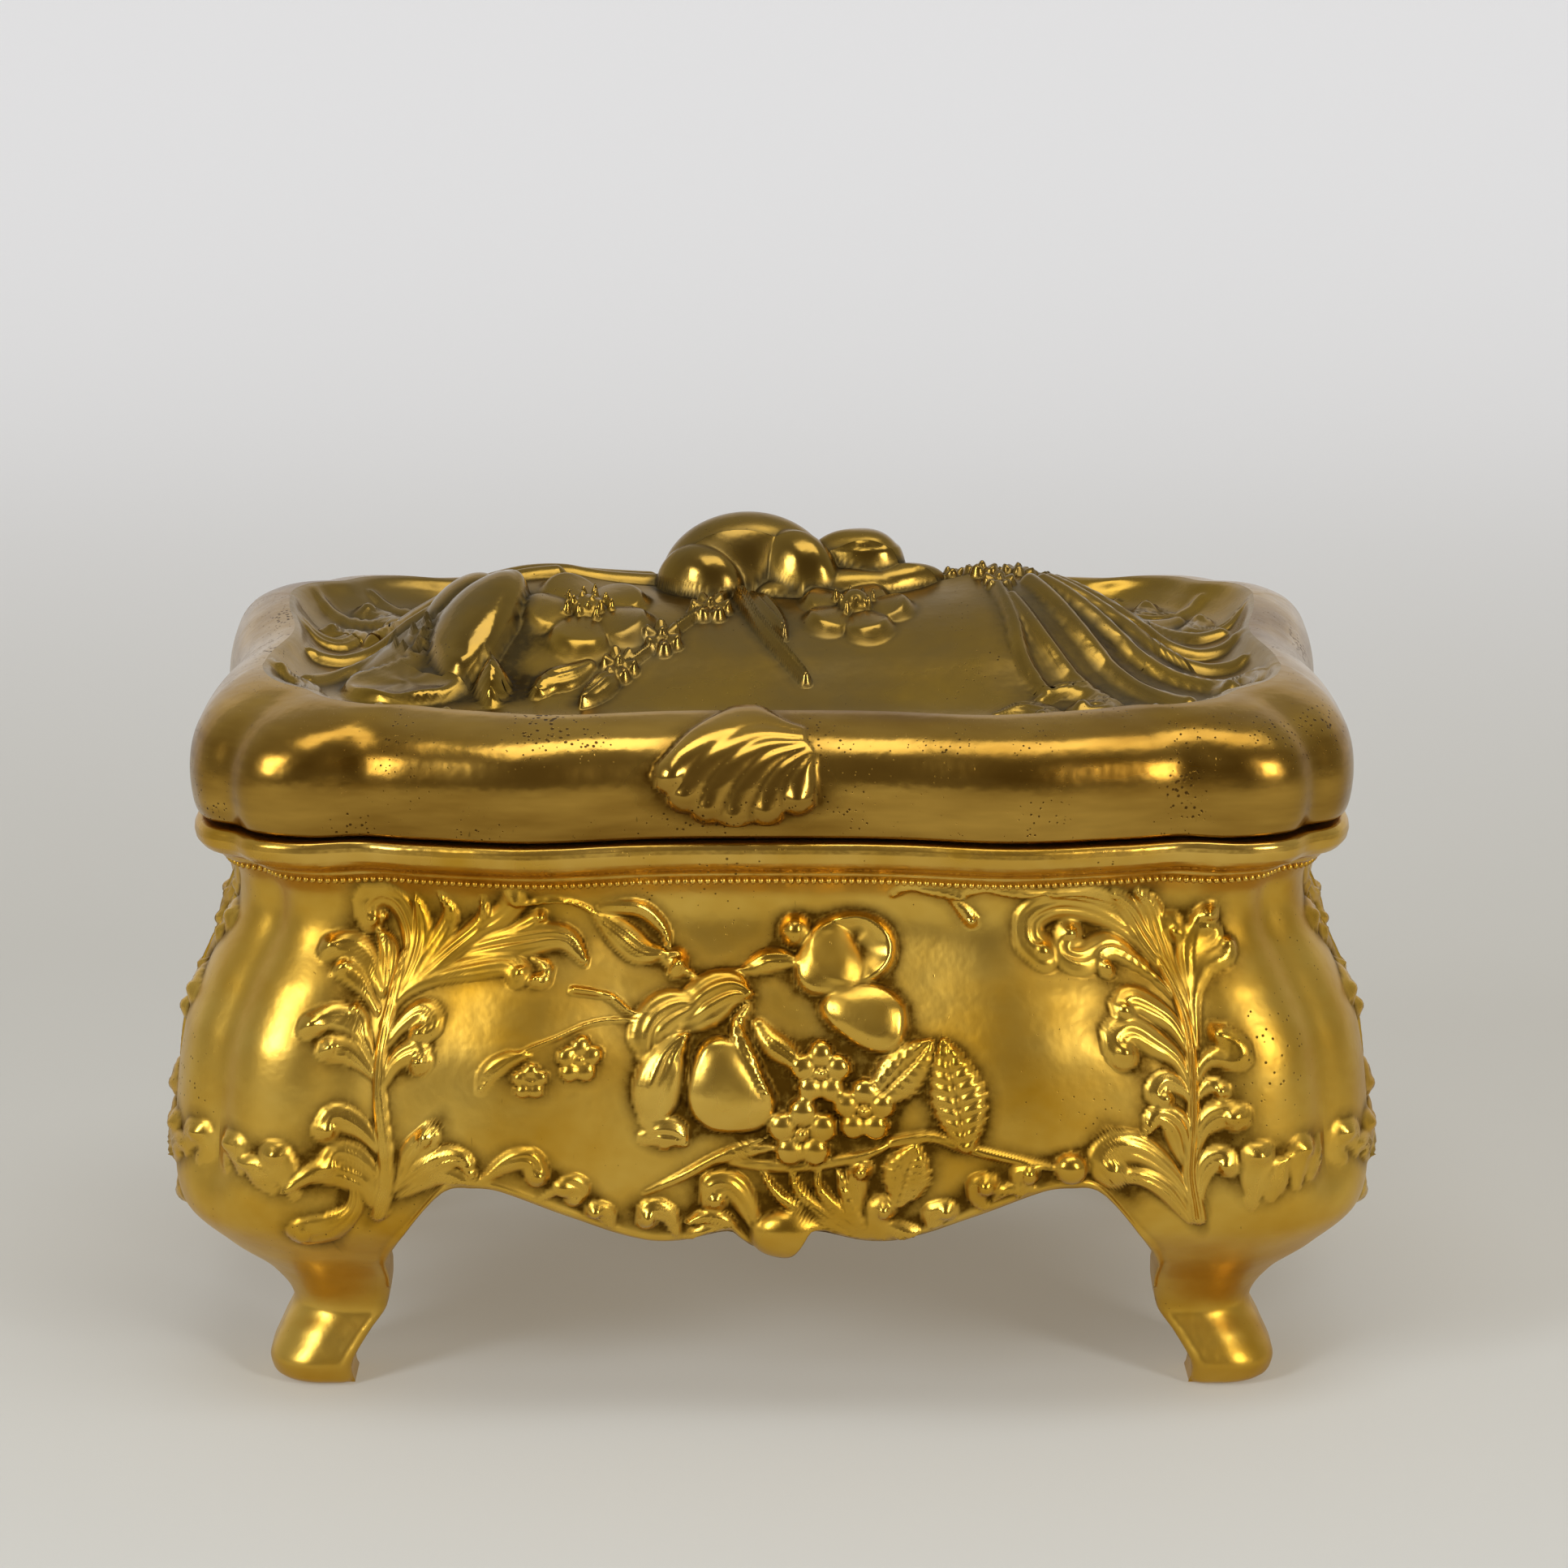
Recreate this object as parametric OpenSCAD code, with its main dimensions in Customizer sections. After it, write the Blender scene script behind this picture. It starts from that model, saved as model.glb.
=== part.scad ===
/* [Tub] */
// Width of the tub over its corner swells
tub_w = 161.6; // [156:0.4:168]
// Depth of the tub over its corner swells
tub_d = 107; // [104:0.4:112]
// Height of the mouth rim's top above the table
mouth_z = 79; // [77:0.1:81.5]
// Height of the widest swell of the tub
swell_z = 35.7; // [35:0.1:38]
// Thickness of the cast wall
wall = 2.2; // [1.8:0.1:2.6]
// How far the neck under the rim stands in from the swell
neck_inset = 8.8; // [7.6:0.1:9.6]
// How far the rolled rim stands in from the swell
rim_inset = 3.4; // [3:0.1:4.2]
// Radius of the tub's corners at the neck
corner_r = 17; // [15:0.5:19]
// Extra corner radius at the swell
swell_round = 3; // [1:0.5:5]

/* [Serpentine plan] */
// How far the two front swells stand out
front_swell = 3; // [2:0.1:3.6]
// Depth of the grooves that part the corner lobes from the front
groove_depth = 1.2; // [0.6:0.1:1.6]
// Depth of the notch on each corner
notch_depth = 1.5; // [0.8:0.1:2]
// How far the middle of each side is drawn in
side_dip = 2.4; // [1.6:0.1:3]

/* [Legs and apron] */
// Height of the narrowest part of the leg
ankle_z = 10.5; // [9.5:0.5:11.5]
// How far the ankle stands in from the swell
ankle_inset = 15.2; // [14.4:0.1:16]
// Height of the widest part of the foot
foot_z = 3.5; // [3:0.1:4]
// How far the foot's toe stands in from the swell
foot_inset = 12.2; // [11.4:0.1:13]
// Height of the arches in the apron
arch_z = 33.3; // [32.1:0.2:33.7]
// Height of the apron's middle drop
apron_z = 23.5; // [22.7:0.1:24.7]
// Share of the leg's inward sweep that the apron follows
apron_tuck = 0.5; // [0.4:0.05:0.6]

/* [Lid] */
// Gap between the rim and the lid
lid_gap = 0.5; // [0.4:0.05:0.7]
// Height of the lid's bulging band
band_h = 15.4; // [14.6:0.2:16.4]
// How far the crest stands in from the band
crest_inset = 9; // [8:0.2:9.6]
// How far the lid's lower edge stands in from the band
lip_inset = 1.2; // [0.9:0.1:1.6]
// Depth of the trough inside the crest
trough_depth = 3.6; // [3:0.1:4.2]
// Height of the dome's top over the crest
dome_rise = 7.6; // [6.6:0.2:8.6]
// Thickness of the cast lid
lid_wall = 2; // [1.7:0.1:2.4]

/* [Blooms] */
// Height of the main bloom's top above the table
bloom_top = 113.3; // [112.3:0.2:114.3]
// Width of the main bloom
bloom_w = 32; // [30:0.5:34]

/* [Hinge] */
// Length of the hinge
hinge_l = 36; // [32:1:40]
// Radius of the hinge pin
pin_r = 0.9; // [0.8:0.05:1]
// Outer radius of the hinge barrel
barrel_r = 2; // [1.9:0.05:2.2]
// Thickness of the hinge leaves
leaf_t = 0.8; // [0.7:0.05:1]
// Height of each leaf's plate
leaf_h = 5.2; // [4.8:0.1:5.6]
// Radius of the rivet shanks
rivet_r = 0.8; // [0.7:0.05:0.9]
// Running clearance of the pin, as a radius
pin_clear = 0.05; // [0.03:0.01:0.08]
// Gap between neighbouring knuckles
knuckle_gap = 0.3; // [0.25:0.05:0.4]
// Angle in degrees at which the hinge's stops hold the lid open
lid_open = 100; // [92:1:108]

/* [Floor and lining] */
// Height of the floor's ledge inside the tub
ledge_z = 35.1; // [34.9:0.1:35.4]
// Thickness of the ledge
ledge_t = 1.2; // [1:0.05:1.25]
// Width of the ledge
ledge_w = 3; // [2.5:0.1:3.5]
// Thickness of the sheet floor
floor_t = 1; // [0.8:0.1:1.2]
// Thickness of the lining's card and silk
lining_t = 2.4; // [2:0.1:2.8]
// Thickness of the cards under the cushion and in the lid
card_t = 1.2; // [1:0.1:1.4]
// Height of the floor cushion at its crown
cushion_h = 6.5; // [5.5:0.25:7.5]
// Height of the lid's pad at its crown
pad_h = 4; // [3.2:0.2:4.6]
// Radius of the silk cord round the mouth
cord_r = 1; // [0.8:0.05:1.1]
// Gap left round the soft pieces
seat_gap = 0.3; // [0.25:0.05:0.4]

/* [Hidden] */

gilt = "goldenrod";
dull_brass = "darkgoldenrod";
silk = "wheat";
card = "tan";

// Where the plan's corner arc starts and ends along a quarter
arc_from = 0.5;
arc_to = 0.75;

lid_z = mouth_z + lid_gap;
crest_z = lid_z + band_h;
band_mid = lid_z + band_h * 0.47;
rim_h = 4.6;
bead_drop = 1.6;
neck_drop = 3;
bead_z = mouth_z - rim_h - bead_drop;
neck_z = bead_z - neck_drop;

// Inset of the corner profile at each height, from the foot's sole to the rim's top
sole_round = 1;
bead_in = 4;
rim_low_in = 2.6;
rim_side_in = 0.9;
rim_top_in = 0.4;
mouth_in = 1;
inset_keys = [
    [0, foot_inset + sole_round],
    [foot_z * 0.4, foot_inset + sole_round * 0.3],
    [foot_z, foot_inset],
    [(foot_z + ankle_z) / 2, (foot_inset + ankle_inset * 1.1) / 2.1],
    [ankle_z, ankle_inset],
    [mix(ankle_z, swell_z, 0.2), ankle_inset * 0.79],
    [mix(ankle_z, swell_z, 0.4), ankle_inset * 0.42],
    [mix(ankle_z, swell_z, 0.65), ankle_inset * 0.06],
    [swell_z, 0],
    [mix(swell_z, bead_z, 0.38), neck_inset * 0.17],
    [mix(swell_z, bead_z, 0.6), neck_inset * 0.54],
    [mix(swell_z, bead_z, 0.78), neck_inset * 0.94],
    [mix(swell_z, bead_z, 0.92), neck_inset],
    [bead_z, rim_inset + bead_in],
    [mouth_z - rim_h, rim_inset + rim_low_in],
    [mouth_z - rim_h * 0.8, rim_inset + rim_side_in],
    [mouth_z - rim_h * 0.4, rim_inset],
    [mouth_z - rim_h * 0.1, rim_inset + rim_top_in],
    [mouth_z, rim_inset + mouth_in]
];
// Corner radius at each height
ankle_r = 7.5;
sole_r_less = 1;
least_r = 3;
radius_keys = [
    [0, ankle_r - sole_r_less],
    [ankle_z, ankle_r],
    [mix(ankle_z, swell_z, 0.5), corner_r * 0.85],
    [swell_z, corner_r + swell_round],
    [bead_z, corner_r],
    [mouth_z, corner_r]
];

function mix(a, b, s) = a + (b - a) * s;
function clamp(v) = min(1, max(0, v));
function ease(v) = let (c = clamp(v)) c * c * (3 - 2 * c);
function bell(u) = exp(-u * u);

// Smooth curve through [position, value] keys
function key_below(keys, p) = max([for (i = [0:len(keys) - 2]) keys[i][0] <= p ? i : 0]);
function key_slope(keys, i) =
    let (lo = keys[max(0, i - 1)], hi = keys[min(len(keys) - 1, i + 1)])
    (hi[1] - lo[1]) / (hi[0] - lo[0]);
function through(keys, p) =
    let (
        i = key_below(keys, p),
        span = keys[i + 1][0] - keys[i][0],
        s = clamp((p - keys[i][0]) / span)
    )
    keys[i][1] * (2 * pow(s, 3) - 3 * pow(s, 2) + 1)
    + key_slope(keys, i) * span * (pow(s, 3) - 2 * pow(s, 2) + s)
    + keys[i + 1][1] * (3 * pow(s, 2) - 2 * pow(s, 3))
    + key_slope(keys, i + 1) * span * (pow(s, 3) - pow(s, 2));

// How far the serpentine plan stands out at a distance along from the front's middle
function front_wave(along, half) =
    front_swell * bell((along / half - 0.42) / 0.165)
    - groove_depth * bell((along / half - 0.705) / 0.058);

// Front's share of the apron's straighter profile
function front_panel(along, half) = 1 - ease((along / half - 0.4) / 0.22);
function side_panel(along, half) = 1 - ease((along / half - 0.2) / 0.3);

// A point of the plan's quarter: t runs from the front's middle to the side's middle
function plan_point(t, a, b, r, lobes, tuck) =
    t <= arc_from ?
        let (x = t / arc_from * (a - r))
        [x, b + lobes * front_wave(x, a) + tuck * front_panel(x, a)]
    : t < arc_to ?
        let (
            turn = 90 * (t - arc_from) / (arc_to - arc_from),
            along = a - r + r * turn * PI / 180,
            reach = r + lobes * (front_wave(along, a) - notch_depth * bell((turn - 45) / 11))
        )
        [a - r + reach * sin(turn), b - r + reach * cos(turn)]
    :
        let (y = (1 - t) / (1 - arc_to) * (b - r))
        [a - lobes * side_dip * bell(y / b * 3.4) + tuck * side_panel(y, b), y];

// Stations along a quarter of the tub's plan, close together beside the hinge seat and at the legs
front_leg = 0.465;
side_leg = 0.79;
seat_spare = 0.4;
seat_to = arc_from * (hinge_l / 2 + seat_spare) / (tub_w / 2 - neck_inset - corner_r);
seat_step = 0.003;
tub_stations = concat(
    [0, 0.03, 0.06, 0.09, 0.125, seat_to, seat_to + seat_step, 0.215, 0.25, 0.285, 0.32, 0.355],
    [0.38, 0.405, 0.43, 0.45],
    [front_leg, 0.5, 0.56, 0.625, 0.69, 0.75, side_leg],
    [0.802, 0.82, 0.845, 0.87, 0.9, 0.93, 0.965, 1]
);
lid_stations = concat(
    [0, 0.04, 0.08, 0.12, seat_to, seat_to + seat_step, 0.215, 0.25, 0.29, 0.325, 0.36, 0.395],
    [0.43, 0.465, 0.5],
    [0.545, 0.585, 0.625, 0.665, 0.705, 0.75, 0.8, 0.85, 0.9, 0.95, 1]
);
lining_stations = [
    0, 0.06, 0.12, 0.18, 0.25, 0.32, 0.38, 0.405, 0.43, 0.45, 0.465, 0.5, 0.56, 0.625, 0.69, 0.75,
    0.845, 0.92, 1
];

// Every station of the plan, counter-clockwise from the front's middle: side of the plan and t
function all_round(stations) = [
    for (side = [0:3], i = [0:len(stations) - 2])
        [side, side % 2 == 0 ? stations[i] : stations[len(stations) - 1 - i]]
];
function placed(side, p) = [side < 2 ? p[0] : -p[0], side == 1 || side == 2 ? p[1] : -p[1]];

// Where a quarter's point of the tub stands at a height, taken in by a margin
function tub_point(t, z, margin = 0) =
    let (inset = through(inset_keys, z))
    plan_point(
        t,
        tub_w / 2 - inset - margin,
        tub_d / 2 - inset - margin,
        max(least_r, through(radius_keys, z) - margin),
        ease((z - ankle_z * 2.4) / ankle_z),
        z < swell_z ? inset * (1 - apron_tuck) : 0
    );
function tub_outline(z, margin, stations = lining_stations) =
    [for (s = all_round(stations)) placed(s[0], tub_point(s[1], z, margin))];

// An outline lifted to a height
function ring(outline, z) = [for (p = outline) [p[0], p[1], z]];

// A closed solid through rings of equal length: capped at both ends, or joined from last to first
module loft(rings, hollow = false) {
    n = len(rings[0]);
    count = len(rings);
    sides = [
        for (k = [0:count - (hollow ? 1 : 2)], i = [0:n - 1])
            let (j = (i + 1) % n, a = k * n, b = ((k + 1) % count) * n)
            each [[a + i, b + i, a + j], [a + j, b + i, b + j]]
    ];
    caps = hollow ? [] : [
        [for (i = [0:n - 1]) i],
        [for (i = [n - 1:-1:0]) (count - 1) * n + i]
    ];
    polyhedron(points = [for (r = rings) each r], faces = concat(sides, caps), convexity = 8);
}

// Lower edge of the apron along the plan: down the front leg, under the foot, up at the side
front_edge = [
    [0, apron_z],
    [0.014, apron_z + 0.9],
    [0.042, mix(apron_z, arch_z, 0.31)],
    [0.099, mix(apron_z, arch_z, 0.13)],
    [0.135, mix(apron_z, arch_z, 0.15)],
    [0.214, mix(apron_z, arch_z, 0.54)],
    [0.29, mix(apron_z, arch_z, 0.95)],
    [0.322, arch_z],
    [0.355, mix(apron_z, arch_z, 0.9)],
    [0.386, mix(ankle_z, arch_z, 0.66)],
    [0.43, mix(ankle_z, arch_z, 0.36)],
    [0.45, ankle_z + 1],
    [front_leg, 0]
];
side_edge = [
    [side_leg, 0],
    [0.802, ankle_z + 1],
    [0.82, mix(ankle_z, arch_z, 0.38)],
    [0.845, mix(ankle_z, arch_z, 0.72)],
    [0.87, mix(ankle_z, arch_z, 0.97)],
    [0.9, mix(apron_z, arch_z, 0.86)],
    [0.95, mix(apron_z, arch_z, 0.34)],
    [0.975, mix(apron_z, arch_z, 0.4)],
    [1, mix(apron_z, arch_z, 0.12)]
];
function edge_z(t) =
    t < front_leg ? max(0, through(front_edge, t))
    : t <= side_leg ? 0
    : max(0, through(side_edge, t));

// Inside of the casting below its ledge: thick at the legs, opening into the wall above them
leg_corner = 3;
under_z = ledge_z - ledge_t;
function leg_x(z) = tub_point(front_leg, z)[0];
function leg_y(z) = tub_point(side_leg, z)[1];
function leg_back(t, z) =
    let (
        p = tub_point(t, z),
        turn = 90 * clamp((t - front_leg) / (side_leg - front_leg)),
        front = ease((t - 0.33) / (front_leg - 0.33)),
        flank = ease((0.89 - t) / (0.89 - side_leg))
    )
    t < front_leg ? [p[0], mix(p[1] - wall, leg_y(z) + leg_corner, front)]
    : t <= side_leg ?
        [leg_x(z) + leg_corner * (1 - cos(turn)), leg_y(z) + leg_corner * (1 - sin(turn))]
    : [mix(p[0] - wall, leg_x(z) + leg_corner, flank), p[1]];
function inside_point(t, z) =
    mix(leg_back(t, z), tub_point(t, z, wall), ease((z - ankle_z) / (under_z - 2 - ankle_z)));

// Flat seats for the hinge leaves on the back of the castings
leaf_clear = 0.2;
axis_y = tub_d / 2 - rim_inset + barrel_r;
axis_z = mouth_z + lid_gap / 2;
leaf_y = axis_y - barrel_r - leaf_t;
body_leaf_top = axis_z - barrel_r - leaf_clear;
lid_leaf_bottom = axis_z + barrel_r + leaf_clear;
plate_h = min(leaf_h, band_mid - lid_leaf_bottom - pin_clear);
rivet_x = hinge_l * 0.36;
rivet_depth = 1.1;
hole_r = rivet_r * 1.04;
body_rivet_z = body_leaf_top - plate_h / 2;
lid_rivet_z = lid_leaf_bottom + plate_h / 2;

seat_film = 0.02;
seat_below = 0.6;
seat_over = 0.3;
function seated(station, p, from_z, to_z) =
    (station[0] == 1 || station[0] == 2) && station[1] <= seat_to
        && p[2] >= from_z && p[2] <= to_z ? [p[0], leaf_y - seat_film, p[2]] : p;

module rivet_places(z) {
    for (side = [-1, 1])
        translate([side * rivet_x, leaf_y + leaf_t, z])
            rotate([90, 0, 0])
                children();
}

// Tub casting with its rim, apron and four legs
module casket_body() {
    round = all_round(tub_stations);
    seat_z = body_leaf_top - plate_h - seat_below;
    low = [for (z = [0, foot_z * 0.4, foot_z, mix(foot_z, ankle_z, 0.5), ankle_z]) z / swell_z];
    outside = concat(
        [for (s = concat(low, [0.5, 0.68, 0.84]))
            [for (q = round)
                let (z = mix(edge_z(q[1]), swell_z, s), p = placed(q[0], tub_point(q[1], z)))
                [p[0], p[1], z]]],
        [for (z = concat(
            [for (s = [0:0.125:0.8]) mix(swell_z, bead_z, s)],
            [seat_z - leaf_t, seat_z, bead_z, mouth_z - rim_h, mouth_z - rim_h * 0.8],
            [mouth_z - rim_h * 0.4, mouth_z - rim_h * 0.1, mouth_z]
        ))
            let (here = ring(tub_outline(z, 0, tub_stations), z))
            [for (i = [0:len(round) - 1]) seated(round[i], here[i], seat_z, mouth_z)]]
    );
    inside = concat(
        [ring(tub_outline(neck_z, wall, tub_stations), mouth_z)],
        [for (s = [1, 0.66, 0.33, 0])
            let (z = mix(ledge_z, neck_z, s)) ring(tub_outline(z, wall, tub_stations), z)],
        [for (z = [ledge_z, under_z])
            ring(tub_outline(ledge_z, wall + ledge_w, tub_stations), z)],
        [for (s = [1, 0.75, 0.5, 0.25, 0])
            [for (q = round)
                let (z = mix(edge_z(q[1]), under_z, s), p = placed(q[0], inside_point(q[1], z)))
                [p[0], p[1], z]]]
    );
    color(gilt)
        // A size of zero keeps the drilled casting as drawn
        resize([0, 0, 0])
            difference() {
                loft(concat(inside, outside), true);
                rivet_places(body_rivet_z)
                    cylinder(r = hole_r, h = 2 * (leaf_t + rivet_depth), center = true, $fn = 16);
            }
}

// Sheet floor that rests on the tub's ledge
module base_plate() {
    color(dull_brass)
        translate([0, 0, ledge_z])
            linear_extrude(height = floor_t)
                polygon(tub_outline(ledge_z, wall + seat_gap));
}

// Knuckles share the barrel: the tub's leaf has the outer pair and the middle one
knuckle_l = hinge_l / 5;
module knuckles(places) {
    for (i = places)
        translate([-hinge_l / 2 + i * knuckle_l + knuckle_gap / 2, axis_y, axis_z])
            rotate([0, 90, 0])
                cylinder(r = barrel_r, h = knuckle_l - knuckle_gap, $fn = 32);
}

module hinge_leaf(places, z_from, z_to, plate_z) {
    color(dull_brass)
        difference() {
            union() {
                translate([-hinge_l / 2, leaf_y, plate_z])
                    cube([hinge_l, leaf_t, plate_h]);
                knuckles(places);
                for (i = places)
                    translate([-hinge_l / 2 + i * knuckle_l + knuckle_gap / 2, leaf_y, z_from])
                        cube([knuckle_l - knuckle_gap, barrel_r + leaf_t, z_to - z_from]);
            }
            translate([-hinge_l / 2 - 1, axis_y, axis_z])
                rotate([0, 90, 0])
                    cylinder(r = pin_r + pin_clear, h = hinge_l + 2, $fn = 32);
            rivet_places(plate_z + plate_h / 2)
                cylinder(r = rivet_r, h = 4 * leaf_t, center = true, $fn = 24);
        }
}

// Leaf on the tub, with three knuckles
module hinge_leaf_body() {
    hinge_leaf([0, 2, 4], body_leaf_top - 0.5, axis_z, body_leaf_top - plate_h);
}

// Fins on the lid's knuckles that swing down onto the tub's leaf and stop the lid
stop_r = barrel_r * 1.6;
stop_t = leaf_t;
stop_corner = norm([stop_r, stop_t / 2]);
stop_turn = 90 + asin(barrel_r / stop_corner) - asin(stop_t / 2 / stop_corner) - lid_open;
stop_play = 0.3;
module stop_fins(places) {
    from_r = (pin_r + barrel_r) / 2;
    for (i = places)
        translate([-hinge_l / 2 + i * knuckle_l + knuckle_gap / 2, axis_y, axis_z])
            rotate([-stop_turn + stop_play, 0, 0])
                translate([0, from_r, -stop_t / 2])
                    cube([knuckle_l - knuckle_gap, stop_r - from_r, stop_t]);
}

// Leaf on the lid, with two knuckles and their stops
module hinge_leaf_lid() {
    hinge_leaf([1, 3], axis_z, lid_leaf_bottom + 0.5, lid_leaf_bottom);
    color(dull_brass)
        stop_fins([1, 3]);
}

// Hinge pin, upset into a small head at each end
module hinge_pin() {
    head = 0.5;
    color(dull_brass)
        translate([-hinge_l / 2, axis_y, axis_z])
            rotate([0, 90, 0]) {
                cylinder(r = pin_r, h = hinge_l, $fn = 32);
                for (at = [-head, hinge_l])
                    translate([0, 0, at])
                        cylinder(r = pin_r + 0.4, h = head, $fn = 32);
            }
}

// Rivets with a low round head outside the leaf
module rivets(z) {
    head_r = rivet_r * 1.9;
    head_h = rivet_r * 0.8;
    color(dull_brass)
        rivet_places(z)
            rotate([180, 0, 0])
                rotate_extrude($fn = 32)
                    polygon([
                        [0, -leaf_t - rivet_depth],
                        [rivet_r, -leaf_t - rivet_depth],
                        [rivet_r, 0],
                        [head_r, 0],
                        [head_r, head_h * 0.3],
                        [head_r * 0.8, head_h * 0.75],
                        [head_r * 0.4, head_h],
                        [0, head_h]
                    ]);
}

module body_rivets() {
    rivets(body_rivet_z);
}

module lid_rivets() {
    rivets(lid_rivet_z);
}

// Outline of the lid at an inset from the band's widest line
band_in = 3;
band_x = tub_w / 2 - band_in;
band_y = tub_d / 2 - band_in;
function lid_outline(inset, lobes = 1, stations = lining_stations) = [
    for (s = all_round(stations))
        placed(s[0], plan_point(
            s[1], band_x - inset, band_y - inset,
            min(corner_r + inset * 0.25, (band_y - inset) * 0.94), lobes, 0
        ))
];

// Rings over the lid from its lip to the dome: inset, height, strength of the lobes
dome_z = crest_z + dome_rise;
lid_rings = [
    [lip_inset, lid_z, 1],
    [lip_inset * 0.35, mix(lid_z, band_mid, 0.3), 1],
    [0, band_mid, 1],
    [crest_inset * 0.1, mix(band_mid, crest_z, 0.32), 1],
    [crest_inset * 0.35, mix(band_mid, crest_z, 0.68), 1],
    [crest_inset * 0.68, mix(band_mid, crest_z, 0.92), 1],
    [crest_inset, crest_z, 1],
    [crest_inset * 1.22, crest_z - trough_depth * 0.45, 0.8],
    [crest_inset * 1.6, crest_z - trough_depth * 0.95, 0.6],
    [crest_inset * 2, crest_z - trough_depth, 0.4],
    [crest_inset * 2.45, crest_z - trough_depth * 0.75, 0.2],
    [crest_inset * 2.95, crest_z - trough_depth * 0.1, 0],
    [crest_inset * 3.5, mix(crest_z, dome_z, 0.35), 0],
    [crest_inset * 4.1, mix(crest_z, dome_z, 0.7), 0]
];

// Corners of the crest stand a little higher than its middle
corner_lift = 2;
function crest_lift(p, inset, z) =
    corner_lift * pow(clamp(abs(p[0]) / (band_x - inset)), 4) * clamp((z - band_mid) / (crest_z - band_mid));

// Cast flowers of the lid: place, radius, height and number of petals
lid_flowers = [
    [[-band_x * 0.52, -band_y * 0.4], bloom_w * 0.48, 5.4, 5],
    [[-band_x * 0.24, -band_y * 0.44], bloom_w * 0.3, 3, 5],
    [[band_x * 0.26, -band_y * 0.34], bloom_w * 0.3, 3.2, 5],
    [[-band_x * 0.62, band_y * 0.28], bloom_w * 0.4, 3, 3],
    [[band_x * 0.55, band_y * 0.2], bloom_w * 0.42, 2.6, 4]
];
function flower_lift(p, f) =
    let (
        d = [p[0] - f[0][0], p[1] - f[0][1]],
        reach = f[1] * (0.86 + 0.14 * cos(atan2(d[1], d[0]) * f[3])),
        u = norm(d) / reach
    )
    u < 1 ? f[2] * (1 - ease(u * 1.4 - 0.4)) * (0.72 + 0.28 * cos(300 * u)) : 0;
function flowers_at(p) = max([for (f = lid_flowers) flower_lift(p, f)]);

// Main bloom: its petals spread over the dome, round a raised heart. Width, height and scallop
bloom_rings = [
    [0.9, 0, 0], [1, 0.12, 0.08], [0.98, 0.24, 0.1], [0.86, 0.32, 0.08], [0.7, 0.22, 0.04],
    [0.64, 0.4, 0.04], [0.62, 0.72, 0.05], [0.48, 0.94, 0.08], [0.26, 0.98, 0.06], [0.07, 0.84, 0]
];
bloom_y = 1.5;

module lid_shell() {
    top_z = lid_leaf_bottom + plate_h + seat_over;
    round = all_round(lid_stations);
    outer = [for (s = lid_rings)
        let (here = lid_outline(s[0], s[2], lid_stations), grown = ease((s[0] / crest_inset - 1) * 2))
        [for (i = [0:len(round) - 1])
            let (
                p = here[i],
                z = s[1] + crest_lift(p, s[0], s[1]) + (grown > 0 ? flowers_at(p) * grown : 0)
            )
            seated(round[i], [p[0], p[1], z], lid_z, top_z)]];
    petals = [for (s = bloom_rings) [
        for (i = [0:len(round) - 1])
            let (
                q = lid_outline(crest_inset * 4.5, 0, lid_stations)[i],
                turn = atan2(q[1] * 2.6, q[0]),
                lobe = abs(cos(turn * 2.5 + s[1] * 70)),
                reach = bloom_w / 2 * s[0] * (1 - 2 * s[2] * (1 - lobe))
            )
            [reach * cos(turn), bloom_y + reach * 0.86 * sin(turn),
                mix(dome_z, bloom_top, s[1]) + 6 * s[2] * lobe]
    ]];
    inner = [
        for (i = [13, 11, 9, 7, 5, 3])
            let (s = lid_rings[i])
            ring(lid_outline(s[0] + lid_wall * (i < 6 ? 1 : 0), s[2], lid_stations),
                s[1] - lid_wall * (i < 6 ? 0.2 : 1)),
        ring(lid_outline(lid_wall + lip_inset * 0.6, 1, lid_stations), band_mid),
        ring(lid_outline(lip_inset + lid_wall, 1, lid_stations), lid_z)
    ];
    loft(concat(inner, outer, petals));
}

// Lid casting: bulging band, raised crest, trough and flowered dome
module lid_casting() {
    color(gilt)
        resize([0, 0, 0])
            difference() {
                lid_shell();
                rivet_places(lid_rivet_z)
                    cylinder(r = hole_r, h = 2 * (leaf_t + rivet_depth), center = true, $fn = 16);
            }
}

// Silk-covered card that lines the tub's walls
lining_drop = 2.4;
lining_top = mouth_z - lining_drop;
floor_top = ledge_z + floor_t;
mouth_margin = wall + seat_gap;
module wall_lining() {
    color(silk)
        translate([0, 0, floor_top])
            linear_extrude(height = lining_top - floor_top)
                difference() {
                    polygon(tub_outline(neck_z, mouth_margin));
                    polygon(tub_outline(neck_z, mouth_margin + lining_t));
                }
}

// Silk cord laid on the lining's top edge
module mouth_cord() {
    color(silk)
        translate([0, 0, lining_top])
            linear_extrude(height = 2 * cord_r)
                difference() {
                    polygon(tub_outline(neck_z, mouth_margin));
                    polygon(tub_outline(neck_z, mouth_margin + 2 * cord_r));
                }
}

// Card under the floor cushion
inside_margin = mouth_margin + lining_t + seat_gap;
module floor_card() {
    color(card)
        translate([0, 0, floor_top])
            linear_extrude(height = card_t)
                polygon(tub_outline(neck_z, inside_margin));
}

// A crowned pad with drawn-in sides: flat underneath, full in the middle
pad_rings = [
    [1.4, 0], [0.3, 0.22], [0, 0.42], [0.6, 0.62], [3, 0.8], [9, 0.93], [20, 0.99], [32, 1]
];

module floor_cushion() {
    color(silk)
        translate([0, 0, floor_top + card_t])
            loft([for (s = pad_rings)
                ring(tub_outline(neck_z, inside_margin + s[0]), s[1] * cushion_h)]);
}

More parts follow.
